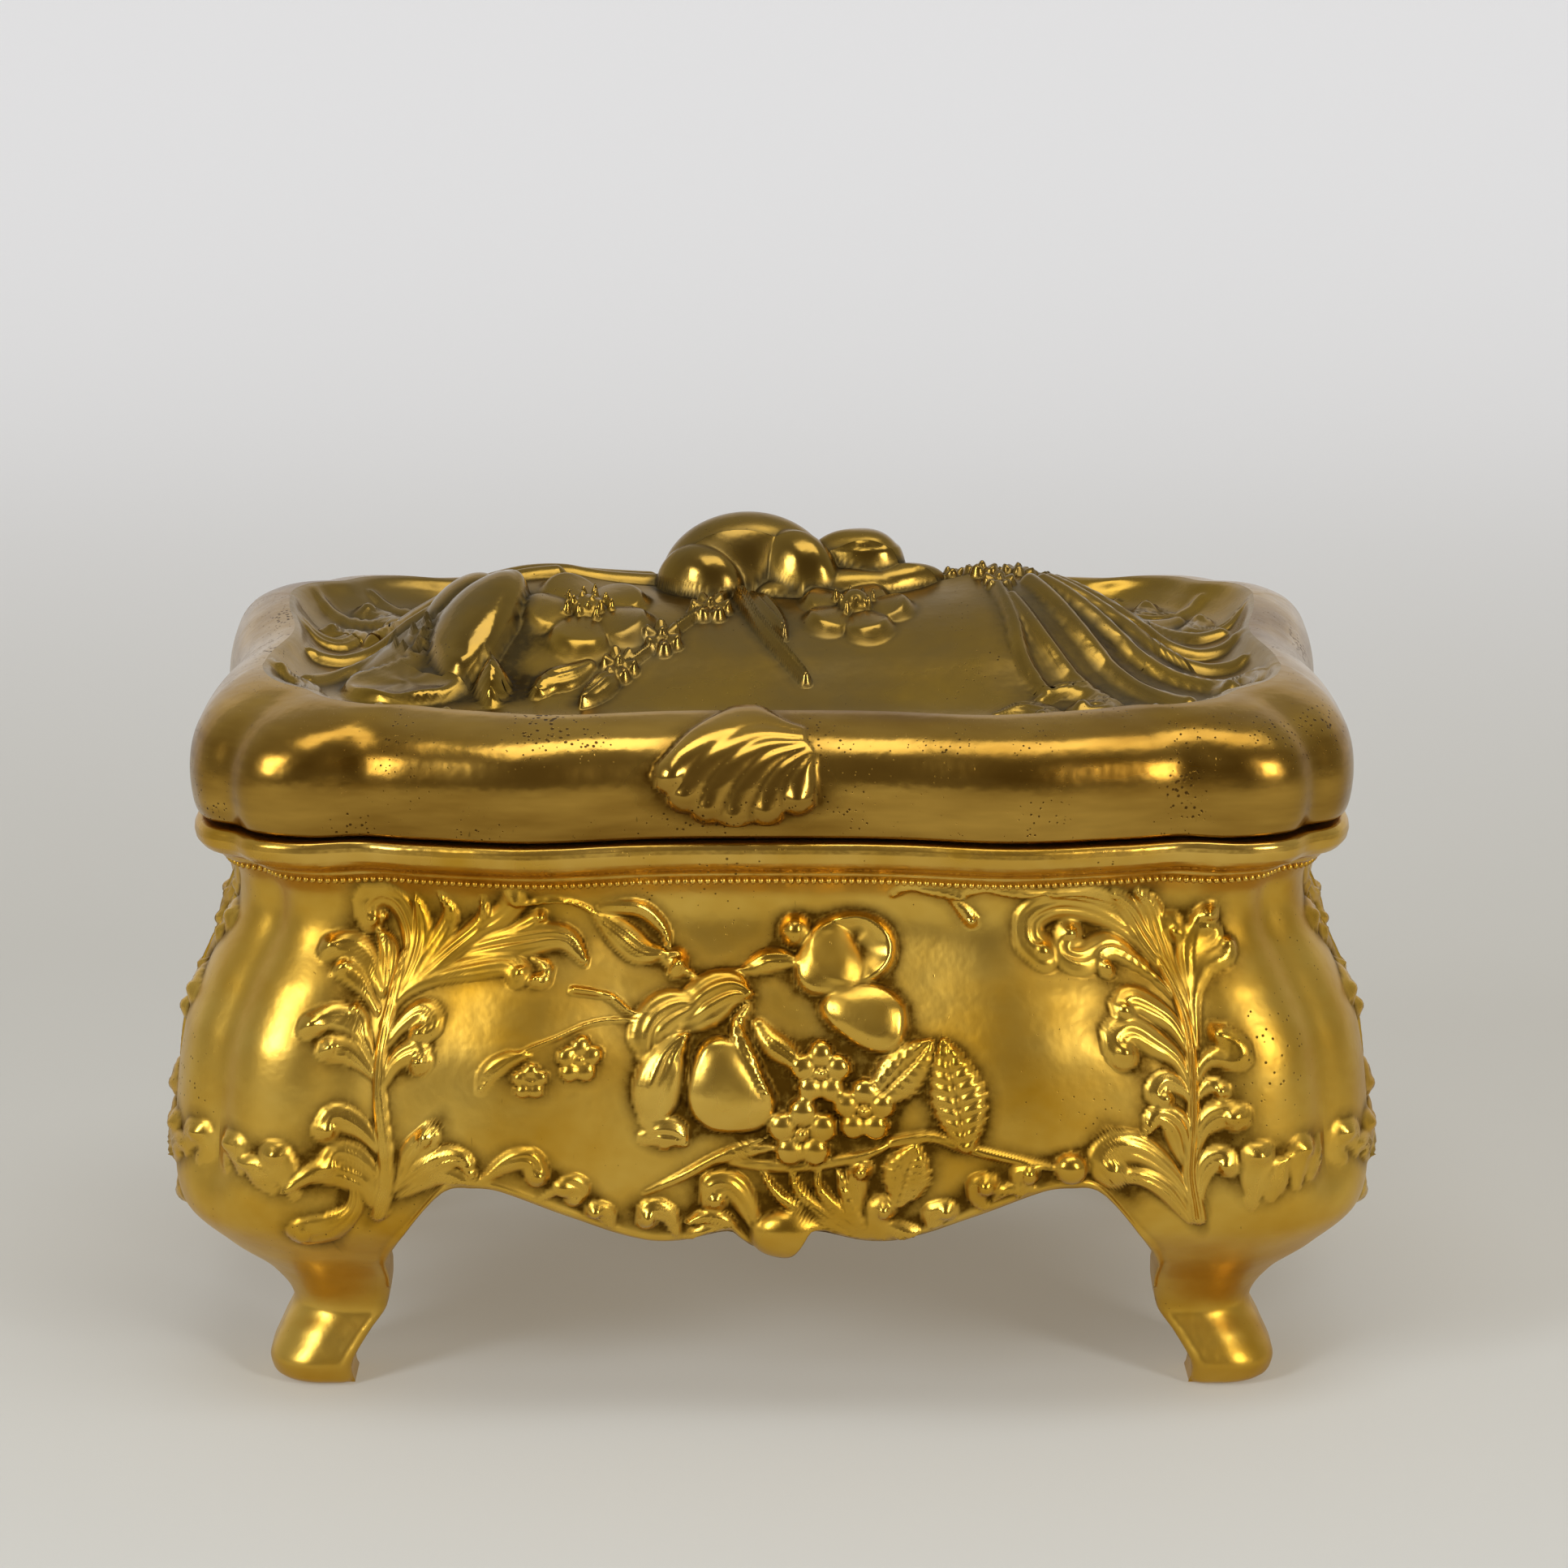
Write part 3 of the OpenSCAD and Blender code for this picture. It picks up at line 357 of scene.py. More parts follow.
# The tub's relief, in millimetres: kind, width, rise and points, which are the distance along the wall from
# its middle and the height over a level that lies reliefLift over the floor
reliefLift = 2.7
wallStrokes = [
    ("stem", 0.8, 1.0, [(-50.5, 26.4), (-51.4, 34.9), (-52.5, 42.5), (-52.7, 48.8), (-53.1, 55.5),
                        (-53.5, 60)]),
    ("curl", 1.13, 1.3, [(-52.8, 55.5), (-52.9, 59.6), (-53.8, 63.5), (-55.4, 66.7), (-57.8, 67.7),
                         (-60, 66.3), (-59.5, 64.3)]),
    ("leaf", 1.41, 1.1, [(-52.2, 54.8), (-51.4, 58.7), (-51.7, 63.2), (-52.2, 67.6)]),
    ("leaf", 1.41, 1.1, [(-51.8, 55.3), (-49.5, 60.9), (-47.5, 65.4), (-48.6, 68.2)]),
    ("leaf", 1.41, 1.2, [(-51.4, 55.8), (-47, 60.5), (-42.9, 64.6), (-42.2, 68)]),
    ("curl", 0.99, 1.3, [(-50.6, 56.6), (-45.4, 61.7), (-40, 65.4), (-37.3, 68.1)]),
    ("curl", 0.71, 1.2, [(-47.8, 59.5), (-40.6, 62.5), (-36.2, 64.4), (-34.2, 65.6)]),
    ("leaf", 1.83, 1.3, [(-46.4, 60.3), (-37.3, 62.3), (-31, 62.9), (-27, 59.5)]),
    ("curl", 0.99, 1.2, [(-53.3, 51.6), (-52, 55), (-48.2, 57.6), (-42.6, 59.1), (-38.1, 59.7),
                         (-36.2, 58.4)]),
    ("curl", 0.58, 1.3, [(-35.1, 60.3), (-32.8, 59.4), (-32.3, 57.8), (-33.7, 57.6)]),
    ("curl", 0.99, 1.3, [(-54.8, 55.4), (-58.4, 59), (-61.8, 61.1), (-64.1, 60.9)]),
    ("curl", 0.71, 1.2, [(-54.7, 53), (-58.5, 56.6), (-61.7, 58.4)]),
    ("leaf", 1.13, 1.1, [(-54.4, 56.1), (-56.1, 60.3), (-58.7, 63)]),
    ("curl", 0.99, 1.3, [(-53.3, 46.5), (-56.4, 50.6), (-60.5, 52.4), (-62.9, 51.4)]),
    ("curl", 0.99, 1.3, [(-52.9, 44.6), (-56.8, 47.7), (-60, 48.5)]),
    ("curl", 0.57, 1.2, [(-54.9, 48.6), (-56.1, 51.4), (-58.1, 53.2)]),
    ("curl", 0.99, 1.3, [(-52.6, 48.2), (-50.9, 51.4), (-48.6, 53.3), (-46.9, 51.9), (-48, 50.7)]),
    ("curl", 0.99, 1.4, [(-52.2, 43.8), (-50.6, 47.1), (-48.2, 48.5), (-47.5, 47.1)]),
    ("curl", 1.13, 1.4, [(-51.4, 34.4), (-54.8, 37.8), (-58.4, 39.2), (-59.4, 37.7)]),
    ("curl", 1.13, 1.4, [(-51.2, 30.8), (-54.7, 33.7), (-57.8, 34.4), (-58.9, 32.7)]),
    ("leaf", 1.55, 1.3, [(-51.3, 27.8), (-54.5, 31), (-60.4, 32), (-63.8, 29.3)]),
    ("curl", 1.27, 1.4, [(-54.9, 30.6), (-54.2, 26.9), (-56.6, 24.3), (-60, 23.5)]),
    ("curl", 0.99, 1.2, [(-49.4, 30), (-48.1, 34.6), (-45.7, 37.3)]),
    ("leaf", 1.41, 1.3, [(-49.2, 30.6), (-44.7, 34), (-41.3, 34.8), (-39.4, 32.2)]),
    ("leaf", 1.13, 1.1, [(-48.5, 29.3), (-43.7, 32.4), (-39.3, 30.6), (-35.6, 29.1)]),
    ("curl", 0.94, 1.4, [(-38.9, 31.2), (-35.3, 34.2), (-32.3, 34.9), (-31, 32.6)]),
    ("curl", 0.82, 1.2, [(-30.4, 28.8), (-27.2, 31.3), (-25.3, 30.5), (-25.7, 29.2)]),
    ("stem", 0.3, 0.8, [(-37, 67.5), (-30.7, 68), (-26.5, 66), (-23.9, 62.2)]),
    ("leaf", 1.6, 1.4, [(-25.6, 65.5), (-22.4, 63), (-18.9, 60.6), (-15.3, 60.1)]),
    ("leaf", 1.0, 1.2, [(-25.5, 66.6), (-19.8, 66.3), (-16.4, 63.6), (-15.1, 60.9)]),
    ("curl", 0.94, 1.6, [(-16.4, 59.7), (-14.3, 59.5), (-13.5, 58.7)]),
    ("leaf", 0.4, 1.0, [(-13.7, 58.9), (-12, 57.9), (-10.3, 57.1)]),
    ("stem", 0.3, 0.9, [(-28.1, 56.4), (-22.9, 55.4), (-19.1, 53.1), (-13.8, 53.2)]),
    ("edge", 0.3, 0.7, [(-18.4, 52.3), (-24.3, 52.3), (-29.7, 50.5), (-34.6, 48.4), (-38.9, 44)]),
    ("leaf", 1.1, 0.8, [(-38.9, 44), (-37.8, 46.3), (-35.3, 48), (-32.8, 48.6)]),
    ("leaf", 2.9, 1.6, [(-16.5, 48), (-16.1, 51.2), (-13.6, 53.1), (-10.5, 53.8)]),
    ("leaf", 2.7, 2.0, [(-12.6, 51.7), (-9.4, 54.2), (-5.9, 55.6), (-3, 55.2)]),
    ("leaf", 2.4, 1.9, [(-16.3, 39.5), (-15.8, 43.7), (-13.9, 47.9), (-11.7, 50.3)]),
    ("leaf", 1.9, 1.5, [(-16.7, 37.1), (-15, 37.7), (-12.9, 37.4), (-11.4, 36.1)]),
    ("leaf", 1.0, 2.2, [(-3.3, 53.8), (-4.8, 51), (-2.7, 46.8), (-0.3, 42.3)]),
    ("leaf", 1.4, 1.7, [(-1.9, 51.6), (-0.1, 49.3), (2.7, 47.3), (3.8, 44.7)]),
    ("leaf", 0.6, 0.9, [(-16.7, 29.4), (-11.7, 31.7), (-6.3, 34.7), (-0.5, 37)]),
    ("leaf", 0.6, 0.9, [(-10.9, 32.6), (-5.5, 34.4), (-0.1, 35.6), (4.2, 35.8)]),
    ("leaf", 0.8, 1.0, [(-5.5, 33.5), (2.3, 33), (11.5, 34.3), (16.9, 36.7)]),
    ("stem", 0.6, 1.0, [(16, 36.4), (21.5, 37.3), (25.8, 36.1), (32.9, 34.6), (38.8, 33.4)]),
    ("stem", 0.4, 0.9, [(-13.8, 53.2), (-11.6, 56.3), (-8.2, 57.7), (-3.1, 58.1)]),
    ("leaf", 1.2, 1.6, [(-3.8, 58.1), (-0.7, 59.2), (2.5, 59.2), (4.3, 58.1)]),
    ("leaf", 0.9, 1.5, [(12.9, 22), (6.3, 25.3), (1, 29), (-1.2, 32.3)]),
    ("leaf", 0.9, 1.5, [(12.9, 22), (7.4, 26.1), (3.7, 29.5), (2.6, 32.6)]),
    ("leaf", 0.9, 1.5, [(12.9, 22.2), (9, 26.6), (6.3, 30), (6.2, 32.8)]),
    ("leaf", 0.8, 1.5, [(12.9, 22.5), (10.6, 26.6), (9.4, 30), (9, 32.6)]),
    ("curl", 0.94, 1.6, [(12.5, 23.7), (11, 27.8), (11.3, 31.5), (12, 32.6)]),
    ("curl", 1.18, 1.8, [(-1.8, 21.4), (-2.3, 25.3), (-4.9, 30), (-7.6, 30.5), (-7.4, 28.6)]),
    ("leaf", 1.0, 1.6, [(-4.3, 22.8), (-6, 25.3), (-8.5, 26.1), (-10.9, 25.3)]),
    ("leaf", 1.0, 1.5, [(-2.3, 22), (-6, 23.7), (-9.2, 23.7), (-12.7, 20.5)]),
    ("curl", 0.94, 1.6, [(-12, 22.8), (-13.2, 26.1), (-15.6, 27.1), (-16, 25.8)]),
    ("leaf", 0.9, 1.4, [(-12.7, 20.8), (-16.7, 21.9), (-20.6, 22.5), (-24, 25.6)]),
    ("curl", 0.82, 1.5, [(-20.3, 23.7), (-21.4, 26.4), (-22.9, 27.3)]),
    ("curl", 1.06, 1.7, [(16, 20.8), (13.8, 23.7), (13.6, 26.6), (14.5, 27.4)]),
    ("leaf", 1.2, 1.6, [(13.8, 25), (17, 23.7), (20.4, 22.3), (23.1, 22)]),
    ("curl", 0.94, 1.6, [(24.2, 22.8), (21.5, 24.3), (20.9, 26.4), (22.6, 27.2)]),
    ("leaf", 0.9, 1.4, [(22.1, 21.7), (25.4, 24.3), (28.4, 26.8), (31.4, 27.1)]),
    ("curl", 0.94, 1.6, [(29, 26.8), (27.1, 28.7), (27.2, 30.8), (28.5, 31.4)]),
    ("leaf", 0.7, 1.4, [(29.1, 29.1), (30.6, 30.7), (32.1, 30.8), (32.9, 29.1)]),
    ("curl", 0.94, 1.5, [(35.6, 29.7), (33.7, 30.8), (33, 32.6), (34.1, 33.3)]),
    ("stem", 0.8, 1.0, [(54.7, 25.8), (55.6, 33.1), (56.3, 39.1), (56.5, 43.7), (56.7, 48.5), (57, 53.5),
                        (56.1, 58.4)]),
    ("curl", 1.41, 1.4, [(56.1, 58.4), (53.3, 62.4), (48.1, 65.8), (42.3, 67.2), (38.5, 65.7), (38, 62.8),
                         (39.6, 61)]),
    ("curl", 1.27, 1.4, [(53.7, 58.7), (50, 61.7), (45.4, 60.1), (42.9, 60.8), (43.9, 63)]),
    ("curl", 0.71, 1.3, [(56.2, 54.9), (53.5, 58.2), (50.2, 60.5), (47.9, 60.2), (48.1, 58.5)]),
    ("leaf", 1.55, 1.2, [(57.6, 56.4), (55.4, 61.3), (53.1, 65.5), (49.4, 68.8)]),
    ("leaf", 1.55, 1.2, [(57.5, 57.4), (57.2, 62.3), (56.1, 65.8), (53.2, 68.5)]),
    ("leaf", 1.13, 1.0, [(53.4, 64.6), (49.8, 66.9), (44.8, 68.6), (39.7, 69.2)]),
    ("curl", 1.13, 1.3, [(57.8, 53.5), (56.9, 58.4), (56.9, 62.1), (59, 63.6), (60.1, 62.6)]),
    ("leaf", 1.55, 1.3, [(59, 55.6), (60.7, 59.2), (62.7, 63.6), (62.4, 65.1)]),
    ("curl", 0.99, 1.6, [(61.3, 59.5), (62.7, 62.5), (64.1, 65.1)]),
    ("curl", 0.71, 1.3, [(60.3, 58.5), (63, 60.7), (65, 62.5), (64, 63.3)]),
    ("curl", 0.71, 1.3, [(57.5, 48.5), (59.3, 55), (62, 58.4), (65.3, 59.8), (66.2, 61)]),
    ("curl", 1.13, 1.4, [(56.5, 47.8), (55, 51.5), (52.8, 53.4), (50.3, 54.6), (48.8, 53.4)]),
    ("curl", 1.27, 1.5, [(56.1, 44.1), (54.5, 47.2), (52, 49.3), (49.2, 51.1), (47, 50.1), (47.5, 48.3)]),
    ("curl", 0.99, 1.4, [(56.2, 41.1), (55.3, 42.9), (52.9, 44.3), (51.6, 43.1), (52.4, 42.1)]),
    ("leaf", 1.69, 1.4, [(55.2, 33.5), (54, 38.3), (51.6, 40), (49.7, 37.6)]),
    ("curl", 0.99, 1.5, [(56.9, 44), (58.4, 46.4), (60.3, 47.4), (62.3, 47.1), (62.9, 48.5), (61.2, 50.1)]),
    ("curl", 0.71, 1.3, [(56.8, 41.6), (58.9, 43.6), (60.4, 42.9)]),
    ("curl", 1.13, 1.5, [(56.4, 34.3), (57.6, 37.9), (60.1, 39.8), (61.7, 39.5)]),
    ("curl", 0.99, 1.4, [(55.8, 28.4), (57.6, 32.5), (59.8, 33.9), (60.5, 33)]),
    ("curl", 1.41, 1.6, [(54.7, 28), (52.9, 32), (49.3, 35.2), (46.2, 35.9), (44, 34.3), (45.1, 32.9)]),
    ("leaf", 1.27, 1.3, [(53.7, 25.5), (51.6, 30), (48.5, 32), (44.6, 31.3)]),
    ("leaf", 0.7, 0.9, [(17.8, 68.1), (20.3, 69.8), (24.3, 69), (28.3, 68.2)]),
    ("leaf", 0.7, 0.9, [(27.1, 68.1), (30.7, 70.1), (35.9, 69.1), (39.7, 69.2)]),
    ("curl", 0.58, 1.1, [(25.6, 68.5), (27.9, 66.7), (29.6, 65)]),
    ("curl", 1.13, 1.3, [(-62.2, 28.8), (-64.7, 32.9), (-65.4, 34.2)]),
    ("leaf", 1.41, 1.1, [(-65, 29.7), (-67.5, 32.3), (-69.9, 32.8)]),
    ("curl", 1.13, 1.2, [(-69.5, 31.7), (-70.7, 34.2), (-71.6, 34.8)]),
    ("leaf", 1.41, 1.1, [(-72.2, 31.4), (-74.8, 34.3), (-75.8, 37.3)]),
    ("leaf", 1.27, 1.1, [(-75.4, 32.4), (-77, 35.1), (-77.6, 37.6)]),
    ("curl", 1.13, 1.3, [(62.2, 27.5), (64, 32.4), (64.3, 34.2)]),
    ("leaf", 1.41, 1.1, [(64.8, 28.7), (66.3, 32.2), (67.6, 33.9)]),
    ("curl", 1.13, 1.2, [(68.4, 29.7), (69.2, 32.9), (69.9, 34.4)]),
    ("leaf", 1.41, 1.1, [(70.7, 30.7), (72.8, 33.7), (74.8, 35.7)]),
]
# kind, centre, half width, half height, turn and rise
wallForms = [
    ("cup", (11.6, 60.8), 7.1, 5.1, -8, 2.0),
    ("wedge", (8.3, 59.4), 5.2, 4.9, -30, 2.5),
    ("dome", (3.5, 63), 2.4, 2.4, 0, 2.3),
    ("wedge", (13.2, 52.6), 6.2, 4.2, 12, 2.4),
    ("wedge", (-5.8, 43.4), 5.6, 6.9, -38, 2.7),
    ("petal", (-14.7, 44.3), 3.4, 5.4, 15, 1.7),
    ("egg", (2.2, 23.4), 5.0, 3.7, 0, 3.0),
    ("egg", (7.6, 22.5), 3.3, 1.6, 8, 2.0),
    ("ball", (39.6, 33.6), 2.4, 2.2, 0, 2.3),
    ("ball", (-46, 37.3), 1.2, 1.2, 0, 1.8),
    ("ball", (-15.9, 26.4), 1.1, 1.1, 0, 1.9),
    ("ball", (14.5, 27.1), 1.2, 1.3, 0, 2.0),
    ("ball", (28.3, 31.2), 1.3, 1.3, 0, 2.0),
    ("ball", (34.1, 32.8), 1.2, 1.2, 0, 1.9),
    ("ball", (11.8, 32.3), 1.1, 1.1, 0, 2.0),
    ("ball", (-22.9, 27.3), 1.2, 1, 0, 1.6),
    ("dome", (-27.3, 30.6), 1.9, 1.2, 20, 1.3),
    ("ball", (-57.6, 64.7), 0.7, 0.7, 0, 1.2),
]
wallBlossoms = [
    ((-26, 47.7), 3, 1.1), ((-32.4, 45.2), 2.4, 1.0), ((6.6, 45.5), 4.1, 1.9), ((4.1, 37.6), 4.7, 2.2),
    ((12.4, 40.7), 4.2, 2.1),
]
wallLeaves = [
    ((13.8, 42.2), (22, 50), 3.3, 1.5), ((26, 36.8), (23.4, 50.4), 3.8, 1.6),
    ((16.6, 28.6), (19.4, 36.4), 3.3, 1.3),
]
# the strokes that the side walls repeat: the left spray and the leaves beside its foot
sideStrokes = wallStrokes[:27] + wallStrokes[-9:-4]


def blended(a, b):
    # the higher of two heights, with the seam between them softened
    return (np.maximum(a, 0)**5 + np.maximum(b, 0)**5) ** 0.2


def laidOut(x, y, join, strokes=(), leaves=(), flowers=(), forms=(), blossoms=()):
    # all the ornaments of a surface joined into one height, each worked out only where it reaches
    height = np.zeros(x.shape)

    def lay(make, points, margin, *values):
        p = np.array(points, float)
        low, high = p.min(0) - margin, p.max(0) + margin
        here = (x > low[0]) & (x < high[0]) & (y > low[1]) & (y < high[1])
        if here.any():
            height[here] = join(height[here], make(x[here], y[here], *values))
    for kind, width, rise, points in strokes:
        lay(strokeHeight, points, width * 1.7, kind, width, rise, points)
    for base, tip, width, rise in leaves:
        lay(toothedLeafHeight, [base, tip], width * 1.3, base, tip, width, rise)
    for centre, radius, rise, petals, spin in flowers:
        lay(flowerHeight, [centre], radius * 1.1, centre, radius, rise, petals, spin)
    for kind, centre, rx, ry, turn, rise in forms:
        lay(formHeight, [centre], max(rx, ry) * 1.1, kind, centre, rx, ry, turn, rise)
    for centre, radius, rise in blossoms:
        lay(blossomHeight, [centre], radius * 1.1, centre, radius, rise)
    return height


def longWallRelief(px, pz):
    return laidOut(px, pz, blended, strokes=wallStrokes, leaves=wallLeaves, forms=wallForms,
                   blossoms=wallBlossoms)


def shortWallRelief(py, pz):
    # the front's left spray, set once near each end of the short wall
    sprayShift = -28.0
    return laidOut(sprayShift - np.abs(py), pz, blended, strokes=sideStrokes)


# the rounded edges of the legs, in millimetres, but for scale, the millimetres to one whole quarter
legRound = {"radius": 1.7, "below": 27.0, "fade": 6, "scale": 100.0}


def legRounding(t, z):
    # how far the skin turns in beside the legs' and feet's edges, and under the feet
    keys, flanks = frontEdge[frontEdge[:, 0] > 0.33], sideEdge[sideEdge[:, 0] < 0.87]
    front = np.interp(z, keys[::-1, 1], keys[::-1, 0])
    flank = np.interp(z, flanks[:, 1], flanks[:, 0])
    inside = np.where(t < 0.63, t - front, flank - t) * legRound["scale"]
    radius = legRound["radius"]
    beside = np.clip(1 - inside / radius, 0, 1)
    under = np.clip(1 - z / (0.7 * radius), 0, 1)
    d = np.clip(np.hypot(beside, under), 0, 1)
    return radius * (1 - np.sqrt(1 - d * d)) * ease((legRound["below"] - z) / legRound["fade"])


def smoothed(height, wide, tall, ends):
    # the mean height round each place, from boxes of cells passed twice
    near = height
    for _ in range(2):
        pad = np.pad(near, ((0, 0), (wide, wide)), mode=ends)
        near = sum(pad[:, k:k + near.shape[1]] for k in range(2 * wide + 1)) / (2 * wide + 1)
        pad = np.pad(near, ((tall, tall), (0, 0)), mode="edge")
        near = sum(pad[k:k + near.shape[0], :] for k in range(2 * tall + 1)) / (2 * tall + 1)
    return near


def paint(piece, name, values):
    attribute = piece.data.attributes.new(name, "FLOAT", "POINT")
    attribute.data.foreach_set("value", np.clip(values, 0, 1).astype(np.float32))


def paintShadeAndWear(piece, rise, columns, rows, wide, tall, ends, hollowGain, wornGain):
    # a hollow is where the relief stands lower than its neighbourhood, and gets painted shade there; it is
    # worn where it stands higher
    relief = rise.reshape(rows + 1, columns + 1)
    near = smoothed(relief, max(2, columns // wide), max(2, rows // tall), ends)
    paint(piece, "hollow", ((near - relief) * hollowGain).ravel())
    paint(piece, "worn", ((relief - near) * wornGain).ravel())


def normals(du, dv, least):
    normal = np.cross(du.T, dv.T)
    return normal / np.maximum(np.linalg.norm(normal, axis=1, keepdims=True), least)


# columns and rows of the four walls
wallGrid = {"front": (440, 168), "back": (300, 120), "left": (250, 168), "right": (250, 168)}
# the raised line along the lower edge, and where the relief fades to nothing
wallLip = {"rise": 0.5, "at": 0.75, "width": 0.5, "from": 14}
wallFade = {"seam": 2.4, "edge": 1.2, "beads": 1.0}


def wallPiece(name, wall):
    # one wall between two diagonals, from its lower edge to the beads, with the relief along its normals
    wallKind, half, relief = "short", halfSide, shortWallRelief
    if wall in ("front", "back"):
        wallKind, half, relief = "long", halfFront, longWallRelief
    columns, rows = wallGrid[wall]
    raised = []

    def surface(u, v):
        along = crowded(u, wallKind)
        t = stationAt(along, wallKind)
        edge = edgeHeight(t)
        z = mix(edge, beadLine, v)
        x, y = tubPoint(t, z, legRounding(t, z))
        x, y = onSide(wall, along, x, y)
        if wall == "back":
            seatShare = ease((z - seat["from"] + seat["blend"]) / seat["blend"])
            y = np.where(np.abs(x) < seat["half"], mix(y, seat["y"], seatShare), y)
        return np.array([x, y, z]), along, z, z - edge

    def place(u, v):
        e = 1e-4
        p, along, z, above = surface(u, v)
        du = surface(np.clip(u + e, 0, 1), v)[0] - surface(np.clip(u - e, 0, 1), v)[0]
        dv = surface(u, np.clip(v + e, 0, 1))[0] - surface(u, np.clip(v - e, 0, 1))[0]
        normal = normals(du, dv, 1e-12)
        rise = relief(along, z - reliefLift) * ease((half - np.abs(along)) / wallFade["seam"])
        rise = rise * ease(above / wallFade["edge"]) * ease((beadLine - z) / wallFade["beads"])
        lip = wallLip["rise"] * bell((above - wallLip["at"]) / wallLip["width"]) * (z > wallLip["from"])
        rise = np.maximum(rise, lip)
        raised.append(rise)
        p = p + normal.T * rise
        return p[0], p[1], p[2]
    piece = finishPiece(name, gridSheet(columns, rows, place), tubGold)
    paintShadeAndWear(piece, raised[0], columns, rows, 90, 42, "edge", 2.2, 1.8)
    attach(piece, "tub")
    return piece


def ringSheet(name, columns, rows, surface, material, flip=False):
    # surface gets t and the row share, and gives a quarter's x and y with the height
    def place(u, v):
        t, sx, sy = aroundPlan(u, crowd=True)
        x, y, z = surface(t, v, sx, sy)
        return x * sx, y * sy, z
    return finishPiece(name, gridSheet(columns, rows, place, seamWeld, flip), material)


def addNode(owner, kind, inputs, **settings):
    # each input is a value or another node's output
    node = owner.node_tree.nodes.new("ShaderNode" + kind)
    for key, value in settings.items():
        setattr(node, key, value)
    for key, value in inputs.items():
        if isinstance(value, bpy.types.NodeSocket):
            owner.node_tree.links.new(value, node.inputs[key])
        else:
            node.inputs[key].default_value = value
    return node


def newMaterial(name, base, metallic, roughness):
    material = bpy.data.materials.new(name)
    material.use_nodes = True
    shader = material.node_tree.nodes["Principled BSDF"]
    shader.inputs["Base Color"].default_value = (*base, 1)
    shader.inputs["Metallic"].default_value = metallic
    shader.inputs["Roughness"].default_value = roughness
    return material, shader


def goldMaterial(name, look):
    # gilt metal: bright where it is rubbed, with painted shade darkening the hollows, pitted and freckled
    material, shader = newMaterial(name, look["bright"], 1.0, look["roughness"])
    where = addNode(material, "TexCoord", {}).outputs["Object"]

    def noise(scale, detail, rough=0.5, stretch=None):
        source = where
        if stretch:
            source = addNode(material, "Mapping", {"Vector": where, "Scale": stretch}).outputs["Vector"]
        values = {"Scale": scale, "Detail": detail, "Roughness": rough, "Vector": source}
        return addNode(material, "TexNoise", values).outputs["Fac"]

    def ramp(source, low, high, a=0.0, b=1.0):
        values = {"Value": source, "From Min": low, "From Max": high, "To Min": a, "To Max": b}
        return addNode(material, "MapRange", values).outputs["Result"]

    def sums(operation, a, b):
        return addNode(material, "Math", {0: a, 1: b}, operation=operation).outputs[0]

    def tint(amount, a, b):
        a, b = [(*color, 1) if isinstance(color, tuple) else color for color in (a, b)]
        return addNode(material, "Mix", {0: amount, 6: a, 7: b}, data_type="RGBA").outputs[2]

    depth = addNode(material, "Attribute", {}, attribute_name="hollow").outputs["Fac"]
    worn = addNode(material, "Attribute", {}, attribute_name="worn").outputs["Fac"]
    cloud = noise(look["cloudScale"], 4, 0.6, (1, 1, look["streak"]))
    patches = ramp(cloud, 0.35, 0.68)
    fine = noise(900, 3, 0.6)
    color = tint(ramp(cloud, 0.3, 0.7), look["bright"], look["warm"])
    # painted shade: the relief's hollows are darkened towards a deep brown, broken up by fine noise
    shadeInHollows = sums("MULTIPLY", depth, ramp(fine, 0.2, 0.7, 0.7, 1.1))
    color = tint(ramp(shadeInHollows, 0.1, 0.95), color, look["hollow"])
    if look["tarnish"] > 0:
        color = tint(sums("MULTIPLY", patches, look["tarnish"]), color, look["tarnishColor"])
    pits = addNode(material, "TexVoronoi", {"Scale": look["pitScale"], "Vector": where}).outputs["Distance"]
    few = noise(look["pitScale"] * 0.06, 3)
    spot = ramp(sums("SUBTRACT", ramp(few, 0.42, 0.75, 0.0, look["pitSize"]), pits), 0.0, 0.06)
    color = tint(sums("MULTIPLY", spot, look["pitDark"]), color, look["pitColor"])
    line = ramp(noise(1500, 1, 0.5, (1, 1, 0.16)), 0.79, 0.81)
    color = tint(sums("MULTIPLY", line, 0.45), color, look["pitColor"])
    rough = sums("ADD", ramp(cloud, 0.3, 0.7, look["roughness"] - 0.05, look["roughness"] + 0.07),
                 sums("MULTIPLY", depth, 0.2))
    rough = sums("SUBTRACT", rough, sums("MULTIPLY", worn, look["polish"]))
    rough = sums("ADD", rough, sums("MULTIPLY", spot, 0.25))
    height = sums("MULTIPLY", noise(look["dentScale"], 3, 0.55), look["dents"])
    height = sums("ADD", height, sums("MULTIPLY", fine, look["grain"]))
    height = sums("SUBTRACT", height, sums("MULTIPLY", spot, look["pitDepth"]))
    height = sums("SUBTRACT", height, sums("MULTIPLY", line, 0.01))
    bump = addNode(material, "Bump", {"Strength": 1, "Distance": mm, "Height": height})
    links = material.node_tree.links
    links.new(color, shader.inputs["Base Color"])
    links.new(rough, shader.inputs["Roughness"])
    links.new(bump.outputs["Normal"], shader.inputs["Normal"])
    return material
